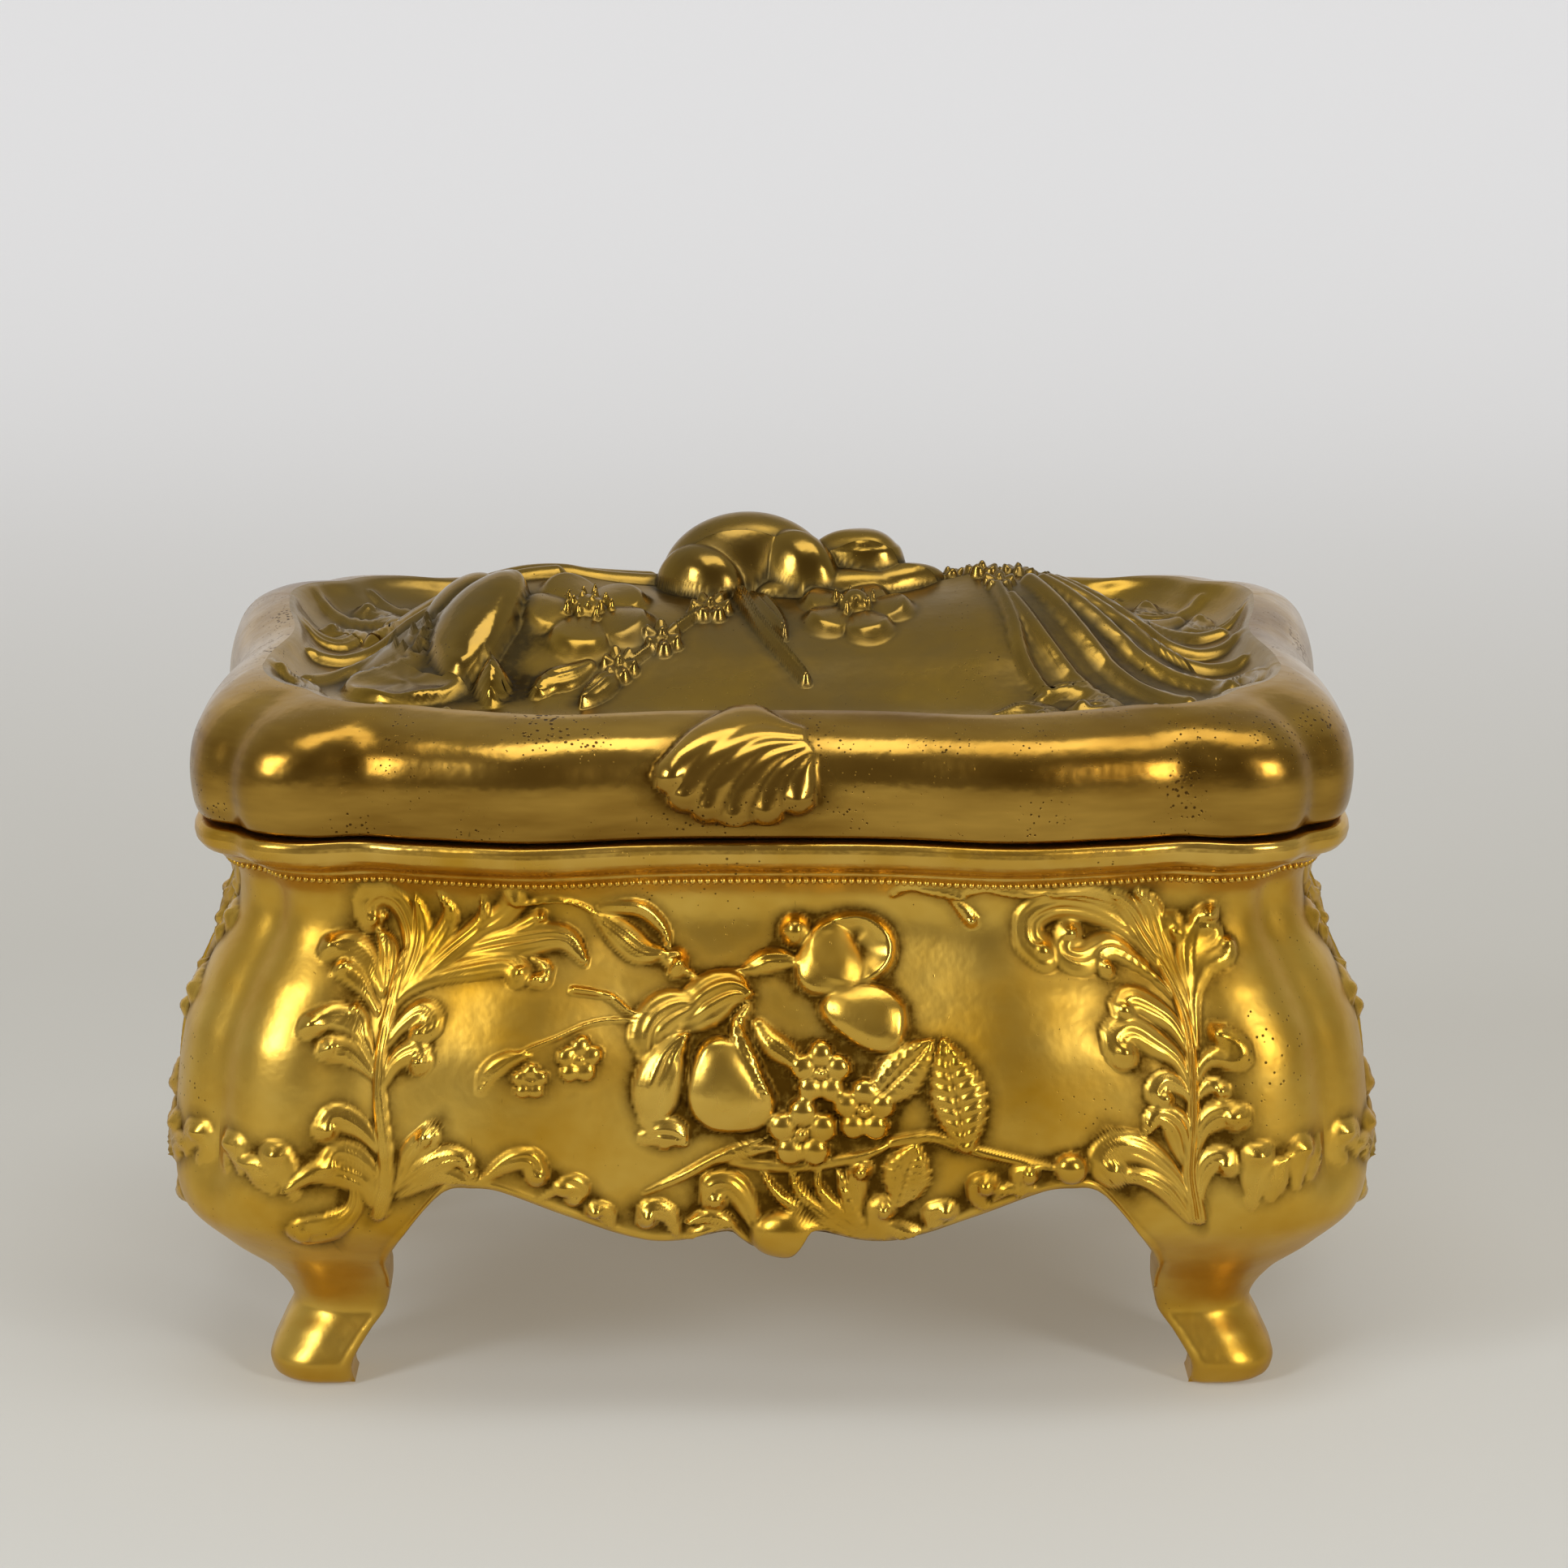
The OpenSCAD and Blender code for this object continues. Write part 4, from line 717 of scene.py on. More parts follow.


# in each look, the darkest colour is painted shade for the relief's hollows
tubLook = {
    "bright": (0.7, 0.455, 0.085), "warm": (0.5, 0.262, 0.016), "hollow": (0.1, 0.047, 0.004),
    "roughness": 0.345, "cloudScale": 40, "streak": 1.3, "tarnish": 0.0, "tarnishColor": (0.3, 0.2, 0.08),
    "pitScale": 900, "pitSize": 0.2, "pitDark": 0.8, "pitColor": (0.06, 0.03, 0.006), "pitDepth": 0.02,
    "dentScale": 160, "dents": 0.16, "grain": 0.014, "polish": 0.15,
}
# the lid's gilt: the tub's colour darkened to about half, as painted shade for the dimmer light on the lid's
# top, with grey tarnish patches
lidLookShaded = dict(
    tubLook, bright=(0.37, 0.225, 0.034), warm=(0.24, 0.132, 0.014), hollow=(0.04, 0.024, 0.006),
    roughness=0.27, tarnish=0.6, tarnishColor=(0.2, 0.148, 0.056), pitScale=1100, pitSize=0.24, pitDark=0.9)
bandLook = dict(
    tubLook, bright=(0.5, 0.3, 0.055), warm=(0.2, 0.1, 0.012), hollow=(0.1, 0.048, 0.006), roughness=0.21,
    cloudScale=26, streak=5, polish=0.04, dents=0.26, dentScale=110, pitScale=1300, pitSize=0.38,
    pitDark=0.92, pitDepth=0.04)
tubGold = goldMaterial("agedGold", tubLook)
lidGoldShaded = goldMaterial("lidGoldPaintedShade", lidLookShaded)
bandGold = goldMaterial("bandGold", bandLook)
rimGold = goldMaterial("rimGold", dict(tubLook, bright=(0.74, 0.5, 0.12), roughness=0.24, dents=0.22))
innerGold = goldMaterial("innerGold", dict(tubLook, bright=(0.45, 0.27, 0.08), dents=0.3, roughness=0.42))


print("wall sheets")
frontWall = wallPiece("frontWall", "front")
wallPiece("backWall", "back")
wallPiece("leftWall", "left")
wallPiece("rightWall", "right")

print("rim and inside")
ledgeWidth, ledgeThick, legCorner = 3.0, 1.2, 3.0
underLedge = casket["ledge"] - ledgeThick
# the rim from the bead line over its roll and down the mouth to the ledge: share, drop from the mouth, inset
rimProfile = np.array([
    [0, 6.2, 7.4], [0.04, 5.5, 6.6], [0.07, 5.3, 6.35], [0.1, 4.6, 6.0], [0.16, 3.7, 4.3], [0.2, 2.7, 3.6],
    [0.25, 1.7, 3.4], [0.3, 0.8, 3.5], [0.34, 0.3, 3.8], [0.38, 0.05, 4.4], [0.44, 0, 6.4], [0.5, 0, 9.8],
    [0.53, 0.4, 10.7], [0.57, 1.3, 11.0], [0.7, 9.2, 11.0], [0.8, 26, 0], [0.93, 43, 0], [0.95, 43.9, 0],
    [1.0, 43.9, 0]])
rimShare = {"seat": 0.385, "overLip": 0.53, "neck": 0.57, "wall": 0.7, "ledge": 0.95}


def rimSurface(t, v, sx, sy):
    z = np.interp(v, rimProfile[:, 0], mouth - rimProfile[:, 1])
    inset = np.interp(v, rimProfile[:, 0], rimProfile[:, 2])
    radius = np.maximum(3, casket["cornerRadius"] - np.maximum(inset - neckInset, 0))
    outer = planPoint(t, casket["width"] / 2 - inset, casket["depth"] / 2 - inset, radius,
                      np.ones_like(z), 0)
    neck = tubPoint(t, np.full_like(z, mouth - 9.17), innerWall)
    low = tubPoint(t, z, innerWall)
    ledge = tubPoint(t, np.full_like(z, casket["ledge"]), innerWall + ledgeWidth)
    overLip, atNeck, atLedge = rimShare["overLip"], rimShare["neck"], rimShare["ledge"]
    out = []
    for k in range(2):
        value = np.where(v < atNeck, outer[k], np.where(v < rimShare["wall"], neck[k], low[k]))
        joined = mix(outer[k], neck[k], ease((v - overLip) / 0.04))
        value = np.where((v >= overLip) & (v < atNeck), joined, value)
        value = np.where(v > atLedge, mix(low[k], ledge[k], (v - atLedge) / 0.05), value)
        out.append(value)
    onSeat = (sy > 0) & (out[0] < seat["half"]) & (v < rimShare["seat"])
    return out[0], np.where(onSeat, seat["y"], out[1]), z


rimPiece = ringSheet("rimPiece", 560, 84, rimSurface, rimGold)
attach(rimPiece, "tub")


def legX(z):
    return tubPoint(np.full_like(z, frontLeg), z)[0]


def legY(z):
    return tubPoint(np.full_like(z, sideLeg), z)[1]


def insideSurface(t, v, sx, sy):
    # from the lower edge up the back of the apron and the legs to the ledge's underside
    edge = edgeHeight(t)
    wallEnd = 0.9
    z = mix(edge, underLedge, np.clip(v / wallEnd, 0, 1))
    x, y = tubPoint(t, z)
    turn = np.radians(90 * np.clip((t - frontLeg) / (sideLeg - frontLeg), 0, 1))
    front = ease((t - 0.33) / (frontLeg - 0.33))
    flank = ease((0.89 - t) / (0.89 - sideLeg))
    lx, ly = legX(z), legY(z)
    backX = np.where(t < frontLeg, x, np.where(t <= sideLeg, lx + legCorner * (1 - np.cos(turn)),
                                               mix(x - innerWall, lx + legCorner, flank)))
    backY = np.where(t < frontLeg, mix(y - innerWall, ly + legCorner, front),
                     np.where(t <= sideLeg, ly + legCorner * (1 - np.sin(turn)), y))
    wx, wy = tubPoint(t, z, innerWall)
    share = ease((z - ankle) / (underLedge - 2 - ankle))
    ix, iy = mix(backX, wx, share), mix(backY, wy, share)
    ledge = tubPoint(t, np.full_like(z, casket["ledge"]), innerWall + ledgeWidth)
    s = np.clip((v - wallEnd) / 0.1, 0, 1)
    return mix(ix, ledge[0], s), mix(iy, ledge[1], s), z


insidePiece = ringSheet("insidePiece", 640, 46, insideSurface, innerGold, flip=True)
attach(insidePiece, "tub")


def soleSurface(t, v, sx, sy):
    # the strip between the outer and inner skins along the lower edge and under the feet
    edge = edgeHeight(t)
    ox, oy = tubPoint(t, edge, legRounding(t, edge))
    ix, iy, _ = insideSurface(t, np.zeros_like(v), sx, sy)
    return mix(ix, ox, v), mix(iy, oy, v), edge - 0.25 * np.sin(np.pi * v) * (edge > 1)


solePiece = ringSheet("solePiece", 640, 4, soleSurface, tubGold)
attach(solePiece, "tub")

print("beads")
beadRow = {"count": 452, "radius": 0.52}


def beadPiece():
    # beads set at even distances along the line under the rim, but for the hinge's seat
    bm = bmesh.new()
    count = beadRow["count"]
    t, sx, sy = aroundPlan(np.arange(4000) / 4000)
    x, y = tubPoint(t, np.full_like(t, beadLine))
    x, y = x * sx, y * sy
    length = np.r_[0, np.cumsum(np.hypot(np.diff(np.r_[x, x[0]]), np.diff(np.r_[y, y[0]])))]
    where = np.arange(count) / count * length[-1]
    px = np.interp(where, length, np.r_[x, x[0]])
    py = np.interp(where, length, np.r_[y, y[0]])
    for bx, by in zip(px, py):
        if by > 0 and abs(bx) < seat["half"] + 0.5:
            continue
        bmesh.ops.create_icosphere(bm, subdivisions=1, radius=beadRow["radius"] * mm,
                                   matrix=Matrix.Translation((bx * mm, by * mm, beadLine * mm)))
    return finishPiece("beadPiece", bm, tubGold)


beadRing = beadPiece()
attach(beadRing, "tub")
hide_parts("casket_body")

print("lid")
lid = {"bandX": 77.8, "bandY": 50.5, "bottom": casket["mouth"] + 0.5, "band": 15.4, "crestInset": 9,
       "domeInset": 24, "cornerLift": 2.0, "seatTop": 86.95, "backClear": 51.5, "backEase": 2.6,
       "easeFrom": 82.2, "easeOver": 3.2}
# the band's profile: share of the way up, inset, height over the lid's lower edge
bandProfile = np.array([
    [0, 1.2, 0], [0.05, 0.75, 0.5], [0.14, 0.3, 2.2], [0.3, 0, 5.6], [0.46, 0.25, 8.6], [0.6, 1.2, 11.0],
    [0.74, 3.1, 13.1], [0.86, 5.6, 14.5], [0.94, 7.6, 15.2], [1, 9, 15.4]])
# the lid's top: inset, height and strength of the plan's lobes
topProfile = np.array([
    [9, 15.4, 1], [9.8, 15.1, 1], [11, 13.9, 0.9], [13, 12.5, 0.7], [15.5, 11.8, 0.5], [18, 11.7, 0.4],
    [22, 12.6, 0.2], [26.5, 15.0, 0], [31.5, 18.0, 0], [37, 20.6, 0], [43, 22.3, 0], [50.5, 23, 0]])
# the lid's relief, seen from above: places from the lid's middle and rises over the surface
bloomPlaces = {
    "flowers": [
        ((-25.2, -10.8), 10.6, 2.0, 5, 0.5), ((11.4, -9.4), 8.8, 1.9, 5, 1.2),
        ((-8.4, -9.9), 3.3, 2.2, 6, 0), ((-14.9, -16.9), 3.1, 2.1, 6, 0.4),
        ((-20.6, -21.7), 2.8, 2.0, 6, 0.2), ((24.5, 3.5), 2.7, 1.8, 5, 0),
        ((29.2, 1.2), 2.9, 1.9, 5, 0.7), ((34.4, 4.2), 2.8, 1.8, 5, 0.3), ((31.4, -3.4), 2.6, 1.6, 5, 1.0),
        ((38.6, 7.2), 2.6, 1.6, 5, 0.5), ((27.6, 7.4), 2.6, 1.7, 5, 0.9), ((33.6, 9.6), 2.6, 1.6, 5, 0.1)],
    "forms": [
        ("ball", (-3.4, 4.2), 12.2, 7.0, -6, 10.3), ("ball", (-9.8, -0.4), 6.6, 4.3, 24, 6.3),
        ("ball", (2.8, 0.8), 7.6, 4.6, 32, 8.2), ("wedge", (12.0, 3.0), 7.6, 4.8, -4, 8.0),
        ("ball", (9.5, -1.4), 12.0, 3.0, -6, 3.2), ("ball", (17.5, 0.2), 7.0, 2.8, -20, 3.2),
        ("wedge", (-40.2, -13.4), 5.9, 10.2, 22, 5.2), ("ball", (-43.0, -2.0), 5.0, 5.5, 20, 3.2),
        ("cup", (-49.5, -20.5), 9.6, 6.6, 14, 2.1), ("petal", (-50.0, -10.5), 7.0, 4.6, -14, 1.5),
        ("peak", (-37.8, -24.6), 2.6, 4.4, 0, 4.2), ("ball", (11.4, -9.4), 2.4, 2.4, 0, 2.9),
        ("ball", (-25.2, -10.8), 2.9, 2.9, 0, 2.1)],
    "strokes": [
        ("stem", 0.8, 1.9, [(-4.2, -5.4), (-2.6, -11.5), (-0.4, -16.5), (4.6, -24.0)]),
        ("leaf", 1.6, 2.2, [(-2.6, -4.6), (-1.2, -9.5), (0.6, -13.6), (1.8, -16.5)]),
        ("leaf", 1.4, 2.0, [(-20.8, -22.6), (-22.4, -24.6), (-24.0, -26.6), (-25.6, -29.0)]),
        ("stem", 0.5, 1.3, [(-6.0, -4.0), (-9.0, -9.5), (-15.0, -17.0), (-22.0, -24.0)]),
        ("leaf", 1.5, 1.5, [(-24.8, -21.4), (-27.5, -23.4), (-30.0, -24.4), (-32.0, -27.0)]),
        ("edge", 1.3, 1.2, [(31.2, -5.0), (33.0, -13.0), (34.0, -20.0), (37.0, -26.0)]),
        ("edge", 1.8, 1.5, [(36.0, -2.0), (42.0, -12.0), (48.0, -20.0), (56.0, -27.0)]),
        ("edge", 1.8, 1.5, [(38.0, 0.0), (46.0, -8.0), (54.0, -15.0), (62.0, -19.0)]),
        ("edge", 1.8, 1.4, [(39.0, 2.5), (48.0, -3.0), (57.0, -7.0), (64.0, -9.0)]),
        ("edge", 1.7, 1.4, [(40.0, 5.5), (49.0, 3.0), (58.0, 1.5), (65.0, 1.5)]),
        ("edge", 1.7, 1.3, [(40.0, 8.5), (48.0, 9.0), (56.0, 10.5), (63.0, 13.0)]),
        ("edge", 1.6, 1.2, [(38.0, 11.5), (45.0, 14.5), (52.0, 18.5), (58.0, 24.0)]),
        ("edge", 1.5, 1.1, [(33.0, -8.0), (37.0, -16.0), (41.0, -22.0), (46.0, -27.5)]),
        ("edge", 1.8, 1.5, [(-16.0, 3.0), (-28.0, 2.5), (-42.0, 4.0), (-56.0, 7.0)]),
        ("edge", 1.8, 1.5, [(-17.0, 6.0), (-30.0, 8.5), (-43.0, 13.0), (-54.0, 19.0)]),
        ("edge", 1.7, 1.3, [(-18.0, 9.0), (-28.0, 13.5), (-38.0, 19.5), (-47.0, 27.0)]),
        ("edge", 1.7, 1.4, [(-30.0, 0.5), (-42.0, -0.5), (-53.0, -1.5), (-63.0, -3.0)]),
        ("edge", 1.6, 1.3, [(-46.0, -4.0), (-53.0, -7.5), (-59.0, -11.5), (-63.0, -16.0)]),
        ("curl", 1.3, 1.9, [(36.0, -27.6), (39.5, -24.8), (43.5, -25.6), (44.4, -29.4), (41.6, -30.6)]),
        ("curl", 1.3, 1.9, [(44.0, -33.5), (48.5, -29.8), (53.0, -30.6), (54.0, -34.0), (51.0, -35.4)]),
        ("curl", 1.2, 1.9, [(54.0, -34.5), (58.0, -30.6), (62.0, -29.6), (64.0, -33.0), (61.5, -35.0)]),
        ("curl", 1.2, 1.7, [(63.5, -27.0), (65.6, -22.5), (64.6, -17.5), (61.6, -18.5), (62.0, -21.0)]),
        ("curl", 1.2, 1.7, [(30.0, -31.5), (33.5, -29.4), (37.0, -31.2), (36.0, -34.0)]),
        ("curl", 1.3, 1.8, [(-70.0, 20.0), (-66.0, 12.0), (-61.5, 8.0), (-59.0, 12.0), (-62.0, 14.0)]),
        ("curl", 1.3, 1.8, [(-66.0, 30.0), (-61.5, 24.0), (-56.5, 22.0), (-55.0, 26.0), (-58.0, 28.0)]),
        ("curl", 1.2, 1.7, [(-58.0, 35.0), (-53.0, 31.0), (-48.5, 31.0), (-48.5, 34.5)]),
        ("curl", 1.2, 1.8, [(-62.0, -36.0), (-57.0, -32.5), (-52.0, -33.6), (-52.0, -36.5)]),
        ("curl", 1.2, 1.8, [(-52.0, -37.0), (-47.0, -33.6), (-42.5, -34.8), (-43.0, -37.4)]),
        ("curl", 1.2, 1.7, [(-43.0, -37.8), (-38.5, -35.0), (-34.0, -36.2), (-35.0, -38.4)]),
        ("curl", 1.2, 1.7, [(-67.0, -30.0), (-63.6, -26.0), (-63.0, -20.5), (-66.4, -19.5)]),
        ("curl", 1.2, 1.7, [(62.0, 31.0), (58.0, 27.0), (53.5, 27.5), (54.0, 31.5)]),
        ("curl", 1.2, 1.7, [(67.0, 20.0), (63.5, 15.5), (60.0, 17.0), (61.0, 21.0)]),
        ("curl", 1.2, 1.6, [(50.0, 36.5), (45.5, 32.5), (41.0, 33.5), (42.0, 36.5)])],
    "stamens": [((-48.6, -11.0), 3.6, 12, 0.75, 2.9), ((-25.2, -10.8), 3.4, 14, 0.55, 2.7),
                ((11.4, -9.4), 2.9, 10, 0.5, 2.7)],
}
# the fan of lobes on the band's front: distance from the middle and height over the floor
shellLobes = [
    [(4.2, 93.2), (-3.0, 94.0), (-9.5, 91.6), (-13.2, 88.2)],
    [(4.4, 92.6), (-2.6, 92.6), (-8.4, 89.6), (-11.4, 85.8)],
    [(4.6, 92.0), (-1.6, 91.2), (-6.4, 87.8), (-8.4, 84.2)],
    [(4.9, 91.6), (0.0, 90.0), (-3.4, 86.6), (-4.9, 83.2)],
    [(5.2, 91.2), (2.2, 89.0), (0.2, 86.2), (-0.7, 83.8)],
    [(5.6, 90.8), (4.4, 88.8), (3.6, 87.0), (3.4, 85.4)]]


def shellHeight(p, z):
    height = np.zeros(p.shape)
    here = (np.abs(p + 4) < 13) & (z > 81.5)
    a, b = p[here], z[here]
    lift = np.zeros(a.shape)
    for points in shellLobes:
        path = curveThrough(points, 6)
        d, s, _ = nearestOnPath(a, b, path)
        reach = 0.5 + 2.1 * ease(s * 1.2)
        u = np.clip(d / reach, 0, 1)
        tip = np.hypot(a - path[-1, 0], b - path[-1, 1])
        lobe = (0.5 + 1.3 * s) * np.sqrt(1 - u * u) + 0.35 * bell(tip / 1.2)
        lift = np.maximum(lift, lobe)
    height[here] = lift
    return height


def stamenForms():
    # balls set in a spiral over a flower's heart
    forms = []
    for centre, spread, count, radius, rise in bloomPlaces["stamens"]:
        for k in range(count):
            q = 2.4 * k
            far = spread * math.sqrt((k + 0.5) / count)
            spot = (centre[0] + far * math.cos(q), centre[1] + far * math.sin(q))
            forms.append(("ball", spot, radius, radius, 0, rise))
    return forms


lidForms = bloomPlaces["forms"] + stamenForms()


def lidOutline(t, inset, lobes):
    inset = np.minimum(inset, lid["bandY"] - 0.012)
    radius = np.minimum(casket["cornerRadius"] + inset * 0.25, (lid["bandY"] - inset) * 0.94)
    return planPoint(t, lid["bandX"] - inset, lid["bandY"] - inset, radius, lobes, 0)


def cornerLift(x, inset, rise):
    low = lid["band"] * 0.47
    return (lid["cornerLift"] * np.clip(np.abs(x) / (lid["bandX"] - inset), 0, 1) ** 4
            * np.clip((rise - low) / (lid["band"] - low), 0, 1))


def bandSurface(t, v):
    inset = through(bandProfile[:, [0, 1]], v)
    rise = through(bandProfile[:, [0, 2]], v)
    x, y = lidOutline(t, inset, 1.0)
    return x, y, lid["bottom"] + rise + cornerLift(x, inset, rise)


def seated(p, sy):
    # the flat on the lid's back that carries the hinge leaf
    on = (sy > 0) & (np.abs(p[0]) < seat["half"]) & (p[2] < lid["seatTop"])
    p[1] = np.where(on, seat["y"], p[1])
    # its lower back edge is eased off, to clear the tub's rim when the lid stands open
    clear = lid["backClear"] + lid["backEase"] * ease((p[2] - lid["easeFrom"]) / lid["easeOver"])
    p[1] = np.where(sy > 0, np.minimum(p[1], clear), p[1])
    return p


def topSurface(t, inset):
    rise = through(topProfile[:, [0, 1]], inset)
    lobes = through(topProfile[:, [0, 2]], inset)
    x, y = lidOutline(t, inset, lobes)
    return x, y, lid["bottom"] + rise + cornerLift(x, inset, rise)


def castRing(name, columns, rows, surface, relief, material, longShare=0.31, weld=seamWeld, flip=False):
    # rings round the lid, pushed out along their own normals by the relief
    raised = []

    def at(u, v):
        t, sx, sy = aroundPlan(u, longShare)
        x, y, z = surface(t, v)
        return np.array([x * sx, y * sy, z]), t, sx, sy

    def place(u, v):
        e = 2e-4
        p, t, sx, sy = at(u, v)
        du = at(u + e, v)[0] - at(u - e, v)[0]
        dv = at(u, np.minimum(v + e, 1))[0] - at(u, np.maximum(v - e, 0))[0]
        normal = normals(du, dv, 1e-9)
        if name == "lidBand":
            p = seated(p, sy)
        rise, upright = relief(p, t, sx, sy, v)
        normal = normal.T * (1 - upright) + np.array([[0], [0], [1]]) * upright
        normal /= np.linalg.norm(normal, axis=0)
        raised.append(rise)
        p = p + normal * rise
        return p[0], p[1], p[2]
    piece = finishPiece(name, gridSheet(columns, rows, place), material)
    paintShadeAndWear(piece, raised[0], columns, rows, 150, 30, "wrap", 1.6, 1.4)
    bm = bmesh.new()
    bm.from_mesh(piece.data)
    bmesh.ops.remove_doubles(bm, verts=bm.verts, dist=weld)
    if flip:
        bmesh.ops.reverse_faces(bm, faces=bm.faces)
    bm.to_mesh(piece.data)
    bm.free()
    return piece


def bandRelief(p, t, sx, sy, v):
    # the shell lies on the front only
    faraway = 90
    along = sx * np.where(t <= 0.5, t / 0.5 * straightFront, faraway)
    rise = np.where(sy < 0, shellHeight(np.where(sy < 0, along, faraway), p[2]), 0)
    return rise * ease(v * 8), np.zeros_like(rise)


def topRelief(p, t, sx, sy, v):
    rise = laidOut(p[0], p[1], np.maximum, strokes=bloomPlaces["strokes"], flowers=bloomPlaces["flowers"],
                   forms=lidForms)
    return rise, np.ones_like(rise)


def troughRelief(p, t, sx, sy, v):
    rise, upright = topRelief(p, t, sx, sy, v)
    return rise * ease(v * 5), upright


def plainRelief(p, t, sx, sy, v):
    return np.zeros_like(t), np.zeros_like(t)


def troughSurface(t, v):
    return topSurface(t, mix(lid["crestInset"], lid["domeInset"], v))


def domeSurface(t, v):
    return topSurface(t, mix(lid["domeInset"], lid["bandY"], v))


def liningSurface(t, v):
    # the lid's inner face, from its lower edge up into the hollow
    shares = [0, 0.12, 0.3, 0.5, 1]
    inset = np.interp(v, shares, [1.2, 3.2, 3.95, 4.0, 9])
    rise = np.interp(v, shares, [0, 0, 2.5, 7.0, 12.5])
    x, y = lidOutline(t, inset, 1.0)
    return x, y, lid["bottom"] + rise


lidBand = castRing("lidBand", 900, 70, bandSurface, bandRelief, bandGold)
lidTrough = castRing("lidTrough", 840, 70, troughSurface, troughRelief, lidGoldShaded)
lidDome = castRing("lidDome", 760, 125, domeSurface, topRelief, lidGoldShaded, 0.36, middleWeld)
lidInner = castRing("lidInner", 480, 24, liningSurface, plainRelief, innerGold, flip=True)
for piece in (lidBand, lidTrough, lidDome, lidInner):
    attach(piece, "lid")
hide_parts("lid_casting")

print("hinge")
hinge = {"length": 36.0, "axisY": 52.1, "axisZ": 79.25, "pin": 0.9, "barrel": 2.0, "leaf": 0.8,
         "leafY": 49.3, "plate": 5.2, "knuckle": 7.2, "gap": 0.3, "clear": 0.2, "arm": 0.5,
         "rivetX": 12.96, "rivetRadius": 1.52, "rivetRise": 0.64, "headThick": 0.5, "headReach": 0.4,
         "stopTurn": 20.9, "stopReach": 3.2, "stopFrom": 1.45, "stopHalf": 0.4}
sharpAngle = math.radians(35)
brass = goldMaterial("brass", dict(
    tubLook, bright=(0.42, 0.26, 0.08), warm=(0.3, 0.18, 0.05), roughness=0.4, dents=0.05, polish=0))


def addBox(bm, low, high, edge=0.12, turn=None):
    made = bmesh.ops.create_cube(bm, size=1)["verts"]
    centre = [(a + b) / 2 for a, b in zip(low, high)]
    size = [b - a for a, b in zip(low, high)]
    for v in made:
        v.co = Vector([(c + s * k) * mm for c, s, k in zip(centre, size, v.co)])
    edges = list({e for v in made for e in v.link_edges})
    done = bmesh.ops.bevel(bm, geom=edges, offset=edge * mm, segments=2, profile=0.5, affect="EDGES",
                           material=-1)
    if turn:
        verts = list({v for f in done["faces"] for v in f.verts} | {v for v in made if v.is_valid})
        bmesh.ops.rotate(bm, verts=verts, cent=turn[0], matrix=Matrix.Rotation(turn[1], 3, "X"))


def addBarrel(bm, fromX, toX, radius, edge=0.15):
    made = bmesh.ops.create_cone(bm, cap_ends=True, segments=56, radius1=radius * mm, radius2=radius * mm,
                                 depth=(toX - fromX) * mm)["verts"]
    for v in made:
        x, y, z = v.co
        v.co = (z + (fromX + toX) / 2 * mm, y + hinge["axisY"] * mm, x + hinge["axisZ"] * mm)
    edges = {e for v in made for e in v.link_edges}
    ends = [e for e in edges if any(len(f.verts) > 4 for f in e.link_faces)]
    bmesh.ops.bevel(bm, geom=ends, offset=edge * mm, segments=2, profile=0.5, affect="EDGES", material=-1)


def hingeLeaf(name, places, plateFrom, armFrom, armTo, body, node, stops=False):
    # a plate with knuckles and their arms, and on the lid's leaf the fins that stop it
    bm = bmesh.new()
    half, ay, az, back = hinge["length"] / 2, hinge["axisY"], hinge["axisZ"], hinge["leafY"]
    addBox(bm, (-half, back, plateFrom), (half, back + hinge["leaf"], plateFrom + hinge["plate"]), 0.16)
    for k in places:
        left = -half + k * hinge["knuckle"] + hinge["gap"] / 2
        right = left + hinge["knuckle"] - hinge["gap"]
        addBarrel(bm, left, right, hinge["barrel"])
        addBox(bm, (left + 0.02, back + 0.02, armFrom), (right - 0.02, ay, armTo), 0.1)
        if stops:
            addBox(bm, (left, ay + hinge["stopFrom"], az - hinge["stopHalf"]),
                   (right, ay + hinge["stopReach"], az + hinge["stopHalf"]), 0.1,
                   (Vector((0, ay * mm, az * mm)), math.radians(-hinge["stopTurn"])))
    piece = finishPiece(name, bm, brass)
    piece.data.set_sharp_from_angle(angle=sharpAngle)
    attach(piece, body)
    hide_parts(node)


low = hinge["axisZ"] - hinge["barrel"] - hinge["clear"]
high = hinge["axisZ"] + hinge["barrel"] + hinge["clear"]
hingeLeaf("hingeTub", [0, 2, 4], low - hinge["plate"], low - hinge["arm"], hinge["axisZ"], "tub",
          "hinge_leaf_body")
hingeLeaf("hingeLid", [1, 3], high, hinge["axisZ"], high + hinge["arm"], "lid", "hinge_leaf_lid", True)

bm = bmesh.new()
pinEnd = hinge["length"] / 2
addBarrel(bm, -pinEnd, pinEnd, hinge["pin"], 0.05)
for left in (-pinEnd - hinge["headThick"], pinEnd):
    addBarrel(bm, left, left + hinge["headThick"], hinge["pin"] + hinge["headReach"], 0.12)
pinPiece = finishPiece("pinPiece", bm, brass)
pinPiece.data.set_sharp_from_angle(angle=sharpAngle)
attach(pinPiece, "tub")
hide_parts("hinge_pin")


def rivetPair(name, z, body, node):
    bm = bmesh.new()
    for side in (-1, 1):
        made = bmesh.ops.create_uvsphere(bm, u_segments=28, v_segments=14, radius=1)["verts"]
        for v in made:
            x, y, up = v.co
            v.co = ((side * hinge["rivetX"] + x * hinge["rivetRadius"]) * mm,
                    (hinge["leafY"] + hinge["leaf"] + y * hinge["rivetRise"]) * mm,
                    (z + up * hinge["rivetRadius"]) * mm)
    piece = finishPiece(name, bm, brass)
    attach(piece, body)
    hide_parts(node)


rivetPair("tubRivets", low - hinge["plate"] / 2, "tub", "body_rivets")
rivetPair("lidRivets", high + hinge["plate"] / 2, "lid", "lid_rivets")

